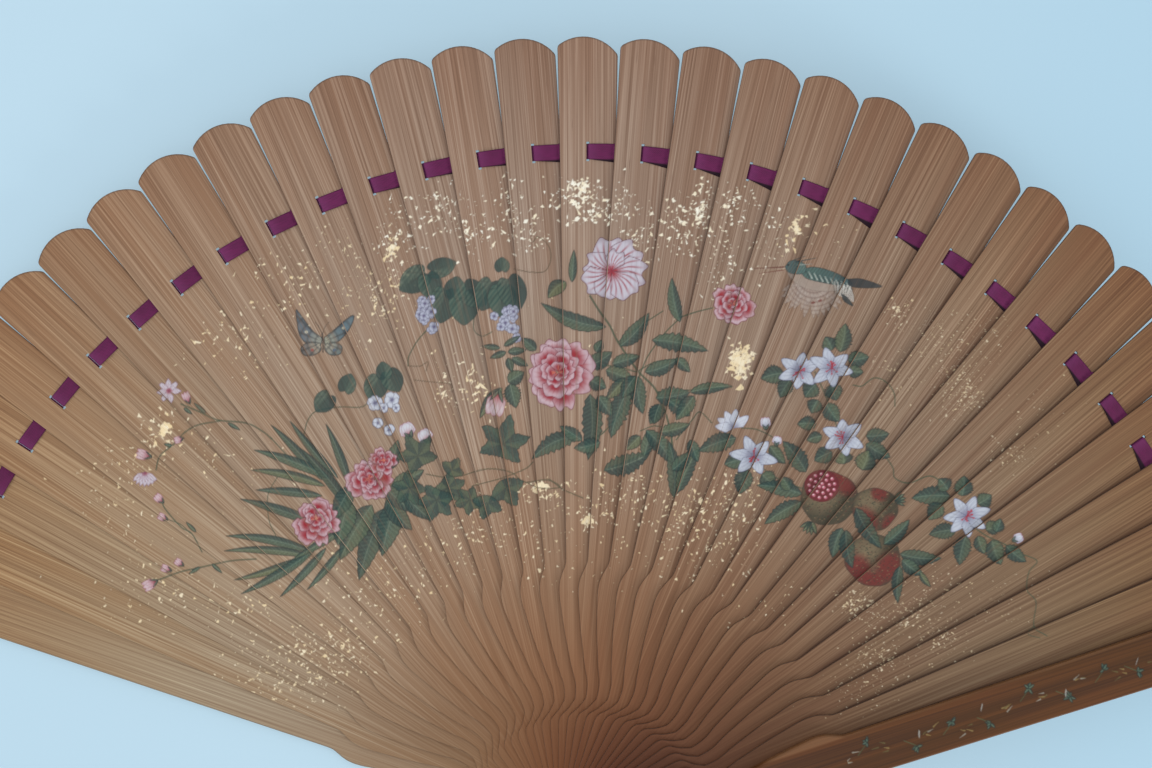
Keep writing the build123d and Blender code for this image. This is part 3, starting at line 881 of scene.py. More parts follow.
    # upper middle: heart leaves over lilac clusters
    S(curve([(514, 269), (530, 272), (545, 271), (551, 258), (548, 245), (538, 237), (533, 242)]), 1.0, brown)
    S(curve([(431, 326), (418, 340), (409, 356), (408, 366)]), 1.2, stem)
    S(curve([(474, 316), (474, 330), (482, 336), (492, 332)]), 1.0, stem)
    S(curve([(408, 366), (420, 366), (428, 362), (426, 371)]), 0.9, brown)
    S(curve([(414, 380), (432, 382), (450, 384), (452, 392)]), 0.8, brown)
    for x, y, a, R, tall, t in [
            (416, 279, 215, 12, 1.3, -.1), (440, 268, 20, 9, 1.5, .2), (430, 284, 290, 11, 1.2, .4),
            (444, 302, 260, 13, 1.3, -.5), (464, 304, 270, 14, 1.2, .4), (472, 293, 320, 12, 1.2, -.6),
            (488, 292, 250, 12, 1.3, -.3), (502, 298, 270, 13, 1.2, .3), (512, 290, 290, 13, 1.3, -.6),
            (502, 266, 90, 7, 1.0, .6), (455, 290, 80, 10, 1.1, .1)]:
        round_leaf(cv, x, y, a, R * 1.1, tall, t)
    cluster(cv, 424, 307, 12, 22, 20, 51)
    cluster(cv, 431, 328, 4, 8, 3, 52)
    cluster(cv, 503, 316, 15, 18, 20, 53)
    cluster(cv, 515, 332, 5, 12, 5, 54)
    for x, y, tx, ty, w in [(500, 348, 482, 346, 3), (504, 346, 520, 336, 3), (506, 352, 490, 358, 3.4),
                            (508, 352, 526, 350, 4), (512, 358, 528, 366, 4), (508, 358, 512, 372, 4)]:
        leaf(cv, x, y, tx, ty, w, 0, -.5)

    # middle: the large flowers, their stems and long leaves
    for pts, w in [
            ([(590, 296), (600, 312), (610, 326), (618, 342), (638, 371), (657, 392), (670, 430), (675, 480)], 2.0),
            ([(618, 342), (640, 326), (663, 311)], 1.1), ([(638, 371), (655, 362), (676, 359)], 1.2),
            ([(678, 320), (664, 334), (648, 356), (640, 374)], 1.2), ([(678, 318), (696, 312), (712, 308)], 1.3),
            ([(657, 392), (690, 390), (732, 387)], 1.2), ([(640, 374), (630, 400), (604, 432), (588, 440)], 1.4),
            ([(588, 366), (612, 366), (637, 372)], 1.3), ([(670, 432), (646, 452), (604, 471)], 1.2),
            ([(668, 428), (654, 426), (640, 431)], 1.0), ([(676, 440), (692, 420), (700, 412), (712, 423)], 1.1)]:
        S(curve(pts), w, stem, 0.9)
    for x, y, tx, ty, w, bow, tone, teeth in [
            (606, 327, 541, 303, 6.5, -.08, -.4, .03), (566, 282, 548, 298, 6.0, .1, .6, 0), (572, 282, 574, 250, 3.4, 0, .1, 0),
            (620, 346, 649, 313, 6.5, .06, -.5, .03), (652, 340, 708, 351, 7.0, -.04, -.2, .08), (645, 372, 678, 359, 6.0, .06, 0, .05),
            (588, 366, 612, 352, 7.0, .05, -.5, .05), (606, 370, 634, 380, 6.5, 0, .4, .05), (612, 364, 640, 356, 5.5, 0, .3, .05),
            (637, 376, 643, 414, 6.5, .05, -.4, .05), (628, 390, 611, 438, 8.0, .04, -.2, .08), (626, 378, 606, 400, 5.0, 0, .5, .05),
            (590, 394, 588, 460, 8.0, -.05, -.4, .06), (598, 396, 612, 416, 6.0, 0, .2, .08), (578, 436, 532, 459, 7.0, .10, -.3, .08),
            (582, 440, 560, 426, 5.0, 0, .3, .05), (604, 470, 650, 453, 8.0, .05, -.4, .08), (644, 456, 648, 430, 5.0, .05, .2, .05),
            (646, 430, 674, 466, 6.5, -.05, -.1, .06), (674, 498, 668, 440, 6.0, .06, -.5, .05), (678, 492, 699, 448, 6.0, -.04, -.1, .05),
            (680, 322, 672, 278, 5.2, -.05, -.3, .03), (656, 398, 690, 392, 7.5, .04, -.2, .08), (690, 392, 732, 386, 4.5, -.03, .1, .05),
            (668, 400, 690, 416, 6.0, 0, -.5, .08), (660, 406, 650, 424, 5.5, 0, .3, .06), (694, 396, 676, 420, 6.0, 0, .2, .06),
            (502, 388, 480, 418, 4.5, .06, .4, 0), (508, 382, 524, 372, 6.0, 0, .3, .06), (510, 384, 516, 408, 6.5, 0, .1, .08),
            (536, 350, 522, 338, 4.5, 0, -.3, .03), (596, 352, 602, 340, 4.0, 0, .1, 0), (690, 440, 698, 462, 5.0, 0, -.4, .05),
            (660, 404, 654, 424, 6.0, .05, -.6, .08), (672, 470, 690, 452, 5.5, .05, .3, .06), (636, 376, 622, 398, 6.0, .04, -.5, .08),
            (660, 432, 690, 424, 5.5, .04, .2, .06), (600, 442, 574, 448, 6.0, -.05, .2, .08), (676, 358, 690, 372, 4.5, 0, .3, .05),
            (590, 380, 606, 388, 6.0, 0, -.3, .06), (640, 436, 626, 450, 5.0, 0, .4, .05)]:
        leaf(cv, x, y, tx, ty, w * 1.22, bow, tone, teeth * 1.7)
    bud(cv, 499, 390, 493, 416, 8.5, (158, 26, 40), (206, 186, 190))
    wide_bloom(cv, 613, 268, 33, 61)
    peony(cv, 558, 374, 36, 1.0, 65, (9, 7, 6, 4))
    peony(cv, 733, 305, 24, 0.88, 63, (7, 5, 4, 2))

    # lower middle: a vine with ivy leaves
    for pts, w in [
            ([(426, 474), (443, 477), (460, 476), (487, 469), (510, 472), (525, 482), (548, 480), (564, 490), (583, 498)], 1.2),
            ([(472, 486), (488, 482), (502, 478), (525, 469), (533, 462)], 1.1), ([(525, 482), (540, 488), (560, 487), (549, 479)], 0.9),
            ([(447, 478), (440, 490), (443, 500)], 1.0), ([(504, 486), (494, 496), (487, 500)], 1.0)]:
        S(curve(pts), w, (76, 74, 52), 0.85)
    for x, y, a, R, lob, t, sh in [
            (503, 444, 75, 27, 5, 0, .34), (418, 456, 120, 21, 5, .4, .42), (448, 488, 320, 18, 5, .3, .45),
            (437, 500, 250, 20, 5, 0, .42), (470, 500, 200, 15, 5, .4, .45), (506, 488, 300, 18, 3, .2, .60),
            (488, 503, 250, 15, 3, .1, .60), (410, 488, 230, 18, 5, .2, .42), (452, 470, 60, 12, 3, .6, .60)]:
        lobed(cv, x, y, a, R * 1.14, lob, t, sh)

    # right: white stars, tendrils, speckled fruit
    for pts, w in [
            ([(853, 385), (862, 386), (874, 378), (886, 382), (894, 393), (895, 406)], 1.2),
            ([(886, 457), (893, 468), (895, 478), (909, 483), (930, 476), (945, 485)], 1.3),
            ([(1022, 554), (1037, 561), (1029, 572), (1027, 590), (1036, 602), (1034, 626), (1047, 636)], 1.1),
            ([(1034, 626), (1028, 634), (1040, 638)], 0.8),
            ([(815, 372), (824, 392), (832, 412), (838, 430)], 1.3), ([(742, 428), (758, 430), (775, 440), (780, 460)], 1.2),
            ([(756, 462), (770, 474), (786, 482), (806, 490)], 1.2), ([(967, 522), (985, 535), (1000, 542), (1020, 552)], 1.3)]:
        S(curve(pts), w, stem, 0.85)
    for x, y, tx, ty, w, tone in [
            (784, 373, 763, 378, 7, -.2), (790, 380, 781, 396, 6, -.3), (816, 384, 806, 396, 7, -.4), (832, 384, 836, 399, 7, -.3),
            (832, 350, 826, 338, 6, 0), (840, 352, 845, 326, 6.5, .2), (848, 360, 867, 357, 6.5, -.3), (848, 370, 862, 372, 5, .3),
            (818, 400, 812, 412, 6, .5), (826, 404, 838, 420, 6.5, .4), (816, 424, 799, 424, 5.5, .2), (822, 436, 808, 440, 4.5, .3),
            (832, 452, 816, 460, 6.5, -.2), (866, 436, 887, 434, 6.0, -.3), (866, 444, 888, 456, 6.5, -.3), (736, 438, 702, 450, 7, -.2),
            (742, 460, 726, 464, 6, -.3), (748, 470, 740, 492, 7, -.3), (762, 474, 774, 484, 7, -.2), (770, 446, 784, 462, 5, .4),
            (806, 472, 785, 444, 7, -.2), (802, 494, 761, 486, 6, .1), (802, 502, 768, 522, 6, -.2), (790, 490, 782, 478, 5, .2),
            (862, 470, 868, 452, 8, .4), (844, 464, 842, 452, 7, .3)]:
        leaf(cv, x, y, x + (tx - x) * 1.10, y + (ty - y) * 1.10, w * 1.28, 0.04, tone, teeth=0.11)
    fruit(cv, 829, 498, 29, 71, True, ((0.65, -0.55, 0.62), (0.2, -0.8, 0.5)))
    crown(cv, 812, 522, 245, 13)
    fruit(cv, 875, 509, 23, 72, False, ((-0.55, 0.6, 0.9), (0.75, 0.7, 0.6), (0.2, -0.7, 0.5)))
    crown(cv, 895, 500, 10, 11)
    fruit(cv, 873, 560, 28, 73, False, ((-0.62, 0.35, 0.75), (0.65, 0.3, 0.75), (0.0, 0.8, 0.5)))
    for x, y, tx, ty, w, tone in [
            (842, 528, 833, 556, 6, -.5), (846, 530, 852, 566, 6, -.6), (856, 508, 880, 546, 6.5, -.6), (884, 544, 908, 521, 5.5, -.3),
            (900, 554, 939, 558, 6, -.2), (902, 560, 922, 574, 5.5, -.1), (900, 566, 898, 601, 4.5, -.4), (920, 572, 930, 586, 2.6, .8)]:
        leaf(cv, x, y, x + (tx - x) * 1.06, y + (ty - y) * 1.06, w * 1.25, 0.05, tone, teeth=0.09)
    for x, y, tx, ty, w, tone in [
            (950, 496, 916, 498, 7, -.3), (948, 490, 940, 480, 6, -.2), (942, 504, 930, 518, 6.5, .3), (962, 496, 964, 478, 7, .1),
            (978, 504, 990, 496, 6, .3), (956, 530, 932, 534, 6, -.3), (966, 536, 960, 562, 6.5, -.1), (986, 530, 998, 524, 5.5, 0),
            (992, 540, 1000, 562, 7, -.1), (1006, 546, 1024, 560, 5.5, -.2), (978, 536, 984, 552, 5, .2), (996, 532, 1000, 520, 4.5, .2)]:
        leaf(cv, x, y, x + (tx - x) * 1.12, y + (ty - y) * 1.12, w * 1.30, 0.04, tone, teeth=0.11)
    star(cv, 800, 371, 24, 80, seed=81, tilt=0.85)
    star(cv, 832, 368, 24, 100, seed=82, tilt=0.85)
    star(cv, 843, 437, 25, 95, seed=83, tilt=0.8)
    star(cv, 754, 456, 24, 110, seed=84, tilt=0.85)
    star(cv, 967, 516, 23, 75, n=7, seed=85, tilt=0.95)
    for ang in (150, 118, 84, 40, 175):
        petal(cv, 734, 428, ang, 0, 19, 5.2, (140, 140, 160), (204, 208, 220), (112, 104, 132), streak=0.25,
              frill=0, reach=0.5, point=0.5)
    for x, y, tx, ty in [(766, 430, 765, 417), (1012, 541, 1023, 536), (776, 446, 778, 436)]:
        bud(cv, x, y, tx, ty, 5.0, (140, 140, 160), (204, 208, 220))

    # a small long-billed bird in flight, and a butterfly
    bird(cv)
    butterfly(cv)
    return cv


def bird(cv):
    r = np.random.default_rng(9)
    # the near wing, spread downwards: long feathers from the shoulder, short ones over them
    for row, (n, lo, hi) in enumerate(((13, 36, 43), (11, 22, 29))):
        for i in range(n):
            a = math.radians(-158 + 112 * i / (n - 1) + r.uniform(-2, 2))
            L = r.uniform(lo, hi) * (1 - 0.18 * abs(i - n / 2) / n)
            x, y = 814, 277
            ux, uy = math.cos(a), -math.sin(a)
            vx, vy = -uy, ux
            t = np.linspace(0, 1, 9)
            w = 3.4 * np.sin(np.pi * t ** 0.9) ** 0.6 + 0.3
            pts = [(x + ux * L * q + vx * h, y + uy * L * q + vy * h) for q, h in zip(t, w)] + \
                  [(x + ux * L * q - vx * h, y + uy * L * q - vy * h) for q, h in zip(t[::-1], w[::-1])]

            def plume(X, Y, L=L, ux=ux, uy=uy, x=x, y=y, row=row):
                al = ((X - x) * ux + (Y - y) * uy) / L
                c = blend_c(lin((150, 122, 108)), lin((176, 162, 152)), smooth(0.2, 0.9, al))
                return blend_c(c, lin((104, 78, 68)), 0.55 * (0.5 + 0.5 * np.cos(al * L * (1.5 - 0.3 * row))) ** 3)

            cv.fill(pts, plume, 0.55, line=(92, 72, 64), line_alpha=0.35, line_w=0.4)
    body = curve([(786, 266), (796, 266), (812, 272), (836, 278), (852, 283), (840, 290), (818, 291), (800, 286),
                  (789, 276), (786, 266)], 6)
    cv.fill(body, (158, 142, 130), 0.8, line=(90, 76, 68), line_alpha=0.4)
    for j in range(9):
        x = 836 + j * 1.9
        cv.stroke(curve([(x - 4, 277 + j * 0.4), (x + 1, 285 + j), (x + 2, 295 + j * 0.8)]), 1.0, (208, 204, 198), 0.8)
        cv.stroke(curve([(x - 3, 277 + j * 0.4), (x + 2, 286 + j), (x + 3, 294 + j * 0.8)]), 0.6, (60, 72, 70), 0.6)
    def feather(pts, c0, c1, bars):
        pts = np.asarray(pts, float)
        a, b = lin(c0), lin(c1)
        lo, hi = pts.min(0), pts.max(0)

        def f(X, Y):
            q = (X - lo[0]) / (hi[0] - lo[0])
            c = blend_c(a, b, smooth(0, 1, q))
            return blend_c(c, lin((22, 34, 38)), 0.5 * (0.5 + 0.5 * np.cos((X * 0.8 + Y * 0.6) * bars)) ** 3)

        cv.fill(curve(pts, 6), f, 0.92, line=(22, 32, 36), line_alpha=0.7, line_w=0.5)

    feather([(800, 271), (812, 267), (828, 270), (844, 277), (852, 284), (838, 285), (820, 282), (806, 278), (800, 271)],
            (70, 104, 98), (52, 82, 84), 2.2)
    feather([(848, 279), (862, 279), (882, 286.5), (864, 288), (850, 286), (848, 279)], (40, 48, 52), (52, 58, 60), 0.6)
    feather([(841, 293), (848, 298), (853, 306), (844, 301), (841, 293)], (36, 46, 50), (56, 66, 66), 0.8)
    feather([(785, 267), (790, 261), (799, 261), (806, 266), (804, 273), (795, 274), (788, 272), (785, 267)],
            (62, 92, 94), (84, 112, 106), 2.6)
    for i in range(17):
        x, y = 806 + i * 2.7, 271 + i * 0.78
        cv.stroke([(x, y), (x + 3.4, y + 6.6)], [0.5, 1.1], (198, 202, 192) if i % 2 else (24, 38, 42), 0.75)
    for i in range(12):
        x, y = 833 + i * 1.6, 281 + i * 0.5
        cv.stroke([(x, y), (x + 2 - 0.5 * i, y + 13 - 0.5 * i)], [0.9, 0.5], (204, 200, 190) if i % 2 else (58, 66, 66), 0.7)
    for (x0, y0, x1, y1, w, c) in [(796, 262, 816, 258, 1.4, (40, 60, 64)), (798, 265, 812, 264, 1.0, (150, 156, 150)),
                                   (794, 260, 806, 256, 1.0, (46, 66, 68)), (784, 267, 754, 268.5, 1.5, (96, 46, 38)),
                                   (783, 270, 759, 273.5, 1.2, (110, 58, 46))]:
        cv.stroke([(x0, y0), (x1, y1)], [w, w * 0.35], c, 0.9)
    cv.stroke([(788, 265), (788.4, 265)], 1.8, (22, 24, 26), 0.95)
    for x, y in ((812, 303), (819, 301)):
        cv.stroke([(x, y), (x + 2, y - 0.6)], 2.2, (112, 48, 42), 0.8)


def butterfly(cv):
    for pts, c0, c1 in [
            ([(322, 338), (312, 330), (300, 314), (296, 310), (297, 322), (300, 336), (308, 344), (320, 345)], (92, 106, 116), (150, 152, 140)),
            ([(324, 338), (334, 330), (348, 318), (354, 316), (351, 326), (344, 336), (336, 343), (326, 346)], (86, 112, 122), (158, 158, 140)),
            ([(320, 343), (308, 343), (301, 348), (304, 355), (314, 355), (321, 350)], (110, 104, 100), (168, 160, 142)),
            ([(325, 344), (336, 343), (342, 347), (340, 354), (331, 355), (325, 350)], (96, 112, 112), (168, 160, 142))]:
        a, b = lin(c0), lin(c1)
        cx, cy = 323.0, 342.0

        def shade(X, Y, a=a, b=b):
            d = np.hypot(X - cx, Y - cy)
            ph = np.arctan2(Y - cy, X - cx)
            c = blend_c(b, a, smooth(4, 20, d))
            c = blend_c(c, lin((34, 44, 50)), 0.75 * (0.5 + 0.5 * np.cos(ph * 16)) ** 5)
            return blend_c(c, lin((40, 52, 60)), 0.6 * (0.5 + 0.5 * np.cos(d * 0.8)) ** 4)

        cv.fill(curve(pts + pts[:1], 5), shade, 0.9, line=(34, 40, 44), line_alpha=0.8, line_w=0.7)
    for x, y, c in ((312, 350, (150, 60, 56)), (334, 350, (58, 92, 120)), (306, 332, (196, 190, 168)), (343, 328, (196, 190, 168))):
        cv.stroke([(x, y), (x + 0.6, y)], 2.6, c, 0.9)
    cv.stroke(curve([(322, 334), (323, 342), (323, 352)]), [1.2] * 21, (36, 34, 34), 0.95)
    for s in (-1, 1):
        cv.stroke(curve([(322.5, 334), (322 + 3 * s, 327), (322 + 7 * s, 322)]), 0.6, (50, 46, 44), 0.8)


def paint_guard():
    """Little leaf sprigs along the front guard, in the guard's own millimetres times four."""
    cv = Canvas(64, 840, 2.0)
    r = np.random.default_rng(77)
    y = 250.0
    side = 1
    while y < 775:
        x = 32 + side * r.uniform(3, 12)
        cv.stroke(curve([(x - side * 10, y - 12), (x - side * 3, y - 3), (x, y)]), 0.9, (76, 92, 62), 0.7)
        for i in range(6):
            a = r.uniform(0, 2 * math.pi)
            L = r.uniform(4.5, 7.5)
            leaf(cv, x, y, x + L * math.cos(a), y + L * math.sin(a), 1.5, tone=-0.1, alpha=0.85)
        for i in range(4):
            a = r.uniform(-0.6, 0.6) + (math.pi / 2 if side > 0 else -math.pi / 2)
            px, py = x - side * r.uniform(6, 16), y + r.uniform(8, 22)
            L = r.uniform(4, 8)
            e = (px + L * math.cos(a), py + L * math.sin(a))
            if 5 < px < 59 and 5 < e[0] < 59:
                c = ((150, 144, 130), (140, 118, 72), (98, 88, 52))[int(r.integers(0, 3))]
                cv.stroke([(px, py), e], [1.7, 0.5], c, 0.75)
        if r.uniform() < 0.75:
            a = r.uniform(-0.8, 0.8)
            px, py = 32 - side * r.uniform(0, 14), y + r.uniform(-4, 6)
            cv.fill(curve([(px, py), (px + 4 * math.cos(a) - 1, py + 4 * math.sin(a) + 1.2), (px + 9 * math.cos(a), py + 9 * math.sin(a)),
                           (px + 4 * math.cos(a) + 1, py + 4 * math.sin(a) - 1.2), (px, py)], 4), (168, 166, 158), 0.85)
        y += r.uniform(34, 50)
        side = -side
    return cv


# ------------------------------------------------------------------ paint on the sticks
EYE_TURN, EYE_TX, EYE_TY = math.radians(1.99), math.radians(2.03), math.radians(6.92)


def picture_place(P):
    """Where a point of the fan (metres) falls on the drawing."""
    px = 0.2525 * MM
    c, s = math.cos(EYE_TURN), math.sin(EYE_TURN)
    x = (P[:, 0] * c + P[:, 1] * s) / px + 15.2
    y = (-P[:, 0] * s + P[:, 1] * c) / px - 445.7
    z = (P[:, 2] - 16.0 * MM) / px
    c, s = math.cos(EYE_TX), math.sin(EYE_TX)
    y, z = c * y - s * z, s * y + c * z
    c, s = math.cos(EYE_TY), math.sin(EYE_TY)
    x, z = c * x + s * z, -s * x + c * z
    f = 2067.0 / (2067.0 - z)
    return 576.0 + x * f, 384.0 - y * f


def sample(cv, u, v):
    """Values of the drawing at picture places, smoothed between its cells."""
    x = np.clip(u * cv.s - 0.5, 0, cv.w - 1.001)
    y = np.clip(v * cv.s - 0.5, 0, cv.h - 1.001)
    i, j = x.astype(int), y.astype(int)
    fx, fy = x - i, y - j
    out = []
    for a in (cv.rgb[..., 0], cv.rgb[..., 1], cv.rgb[..., 2], cv.cov, cv.gold):
        out.append((a[j, i] * (1 - fx) + a[j, i + 1] * fx) * (1 - fy) + (a[j + 1, i] * (1 - fx) + a[j + 1, i + 1] * fx) * fy)
    off = (u < 1) | (v < 1) | (u > cv.w / cv.s - 2) | (v > cv.h / cv.s - 2)
    out = np.stack(out, -1)
    out[off] = 0
    return out


def blade_half(y):
    y = np.asarray(y, float)
    low = np.interp(y, [56.0, 60.4, 63.4, 65.9, 68.5], [7.05, 7.50, 7.10, 6.15, 5.70])
    return np.where(y > 68.5, 0.5 * (W_ROOT + W_SLOPE * y) + FLARE_K * np.maximum(0.0, y - FLARE_R) ** 2, low)


def next_edge(y):
    """Left edge of the next blade, in this blade's own millimetres."""
    q = np.linspace(50, 205, 800)
    h = blade_half(q)
    x = -h * math.cos(PITCH) + q * math.sin(PITCH)
    yy = h * math.sin(PITCH) + q * math.cos(PITCH)
    return np.interp(y, yy, x)


def grid_mesh(name, V, keep, values):
    """Mesh of a rows x columns grid, keeping the cells marked, with point colours."""
    rows, cols = keep.shape[0] + 1, keep.shape[1] + 1
    idx = np.arange(rows * cols).reshape(rows, cols)
    quads = np.stack([idx[:-1, :-1], idx[:-1, 1:], idx[1:, 1:], idx[1:, :-1]], -1)[keep]
    used, inverse = np.unique(quads, return_inverse=True)
    quads = inverse.reshape(-1, 4)
    V, values = V.reshape(-1, 3)[used], values.reshape(-1, values.shape[-1])[used]
    me = bpy.data.meshes.new(name)
    me.vertices.add(len(V))
    me.vertices.foreach_set("co", V.astype(np.float32).ravel())
    me.loops.add(quads.size)
    me.loops.foreach_set("vertex_index", quads.astype(np.int32).ravel())
    me.polygons.add(len(quads))
    me.polygons.foreach_set("loop_start", np.arange(0, quads.size, 4, dtype=np.int32))
    me.update(calc_edges=True)
    cov = np.clip(values[:, 3], 0, 1)
    straight = values[:, :3] / np.maximum(cov, 1e-3)[:, None]
    a = me.color_attributes.new("paint", "FLOAT_COLOR", "POINT")
    a.data.foreach_set("color", np.concatenate([np.clip(straight, 0, 1), cov[:, None]], 1).astype(np.float32).ravel())
    g = me.attributes.new("gold", "FLOAT", "POINT")
    g.data.foreach_set("value", np.clip(values[:, 4] / np.maximum(cov, 1e-3), 0, 1).astype(np.float32))
    me.validate()
    return me


def add_piece(name, me, mat):
    ob = bpy.data.objects.new(name, me)
    bpy.context.scene.collection.objects.link(ob)
    me.materials.append(mat)
    return ob


def spread(mask, n):
    for _ in range(n):
        m = mask.copy()
        m[1:] |= mask[:-1]
        m[:-1] |= mask[1:]
        m[:, 1:] |= mask[:, :-1]
        m[:, :-1] |= mask[:, 1:]
        mask = m
    return mask


def painted(g, wood, height, rough, fibre_show=0.35):
    """Paint and gold leaf from the point colours, over the wood below."""
    paint = g.node("ShaderNodeAttribute", attribute_name="paint")
    gold = g.node("ShaderNodeAttribute", attribute_name="gold")
    cover = g.math("MULTIPLY", paint.outputs["Alpha"], g.ramp(height, 0.34, 0.46, 1.0 - fibre_show, 1.0), clamp=True)
    cover = g.math("MAXIMUM", cover, g.math("MULTIPLY", gold.outputs["Fac"], paint.outputs["Alpha"]))
    tint = g.mix(g.ramp(height, 0.42, 0.62, 0.0, 0.22), paint.outputs["Color"], (0.72, 0.72, 0.70), "OVERLAY")
    c = g.mix(cover, wood, tint)
    g.link(c, g.bsdf.inputs["Base Color"])
    leafed = g.math("MULTIPLY", gold.outputs["Fac"], cover)
    g.link(g.math("MULTIPLY", leafed, 0.25), g.bsdf.inputs["Metallic"])
    r = g.math("MULTIPLY_ADD", cover, -0.06, rough)
    g.link(g.math("MULTIPLY_ADD", leafed, -0.18, r), g.bsdf.inputs["Roughness"])
    lift = g.math("MULTIPLY_ADD", cover, 0.35, g.math("MULTIPLY", height, 0.8))
    g.link(g.bump(lift, 0.25, 0.00010), g.bsdf.inputs["Normal"])


fan_picture = paint_fan()
STEP = 0.25
for k in range(1, BLADES - 1):
    ys = np.arange(59.0, 168.4, STEP)
    left = -blade_half(ys) + 0.16
    right = np.minimum(next_edge(ys) + 0.6, blade_half(ys) - 0.2)
    cols = int(np.ceil((right - left).max() / STEP)) + 1
    f = np.linspace(0, 1, cols)
    X = left[:, None] + (right - left)[:, None] * f[None]
    Y = np.broadcast_to(ys[:, None], X.shape)
    z = np.full(X.shape, z_top(k) + 0.02)
    V = np.stack(to_row_arrays(k, X, Y, z), -1)
    u, v = picture_place(V.reshape(-1, 3))
    vals = sample(fan_picture, u, v).reshape(X.shape + (5,))
    mark = spread(vals[..., 3] > 0.02, 1)
    keep = mark[:-1, :-1] | mark[1:, :-1] | mark[:-1, 1:] | mark[1:, 1:]
    if keep.sum() < 20:
        continue
    me = grid_mesh("paint_%02d" % k, V, keep, vals)
    g = Graph("painted_bamboo_%02d" % k)
    wood, height, rough = bamboo_colour(g, k)
    painted(g, wood, height, rough)
    g.bsdf.inputs["Specular IOR Level"].default_value = 0.35
    g.bsdf.inputs["Sheen Weight"].default_value = 0.06
    ob = add_piece("paint_%02d" % k, me, g.mat)
    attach(ob, body_name(k))

guard_picture = paint_guard()
k = BLADES - 1
ys = np.arange(66.0, 192.0, STEP)
left, right = -blade_half(ys) + 0.5, blade_half(ys) - 0.5
cols = 60
X = left[:, None] + (right - left)[:, None] * np.linspace(0, 1, cols)[None]
Y = np.broadcast_to(ys[:, None], X.shape)
V = np.stack(to_row_arrays(k, X, Y, np.full(X.shape, z_top(k) + 0.02)), -1)
vals = sample(guard_picture, 32 + X.ravel() * 4, Y.ravel() * 4).reshape(X.shape + (5,))
mark = spread(vals[..., 3] > 0.02, 1)
keep = mark[:-1, :-1] | mark[1:, :-1] | mark[:-1, 1:] | mark[1:, 1:]
me = grid_mesh("paint_guard", V, keep, vals)
g = Graph("painted_guard")
wood, height, rough = guard_colour(g, k)
painted(g, wood, height, rough, 0.2)
lacquer_finish(g)
ob = add_piece("paint_guard", me, g.mat)
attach(ob, "front")


# ------------------------------------------------------------------ ribbon
def ribbon_material():
    g = Graph("ribbon")
    uv = g.node("ShaderNodeUVMap", uv_map="UVMap").outputs["UV"]
    sep = g.node("ShaderNodeSeparateXYZ")
    g.link(uv, sep.inputs[0])
    u, v = sep.outputs[0], sep.outputs[1]

    def thread(t, per_mm):
        return g.math("ABSOLUTE", g.math("SINE", g.math("MULTIPLY", t, math.pi * per_mm)))

    warp, weft = thread(v, 4.6), thread(u, 3.4)
    over = g.math("SINE", g.math("MULTIPLY", g.math("ADD", g.math("MULTIPLY", u, 3.4), g.math("MULTIPLY", v, 4.6)), math.pi))
    weave = g.math("MULTIPLY_ADD", over, 0.25, g.math("MULTIPLY", g.math("ADD", warp, weft), 0.5))
    n = g.noise(g.mapping(uv, scale=(0.35, 2.5, 1)), 3.0, 0.6)
    fuzz = g.noise(g.mapping(uv, scale=(9, 9, 1)), 2.0, 0.6)
    c = g.mix(g.ramp(weave, 0.15, 0.95), (0.060, 0.006, 0.036), (0.165, 0.014, 0.092))
    c = g.mix(g.ramp(n, 0.4, 0.75, 0.0, 0.55), c, (0.220, 0.024, 0.120))
    tc = g.node("ShaderNodeTexCoord")
    piece = g.noise(g.mapping(tc.outputs["Object"], scale=(75, 75, 75)), 1.0)
    c = g.mix(g.ramp(piece, 0.35, 0.65, 0.35, 0.0), c, (0.060, 0.004, 0.026))
    # painted sheen: the ribbon is lighter where it comes out of its slot
    c = g.mix(g.ramp(u, 1.0, 3.4, 0.22, 0.0), c, (0.26, 0.06, 0.20))
    c = g.mix(g.ramp(fuzz, 0.55, 0.8, 0.0, 0.30), c, (0.27, 0.06, 0.17))
    selvedge = g.ramp(g.math("ABSOLUTE", g.math("SUBTRACT", v, 1.95)), 1.72, 1.92)
    c = g.mix(g.math("MULTIPLY", selvedge, 0.45), c, (0.040, 0.004, 0.024))
    # painted shadow: near-black where the lower edge drops onto the stick
    c = g.mix(g.ramp(v, -0.02, -0.14), c, (0.016, 0.003, 0.010))
    g.link(c, g.bsdf.inputs["Base Color"])
    g.link(g.ramp(n, 0.3, 0.7, 0.60, 0.78), g.bsdf.inputs["Roughness"])
    g.bsdf.inputs["Specular IOR Level"].default_value = 0.25
    g.bsdf.inputs["Sheen Weight"].default_value = 0.10
    g.bsdf.inputs["Sheen Roughness"].default_value = 0.4
    g.bsdf.inputs["Sheen Tint"].default_value = (0.80, 0.35, 0.60, 1)
    g.link(g.bump(weave, 0.5, 0.00008), g.bsdf.inputs["Normal"])
    return g.mat


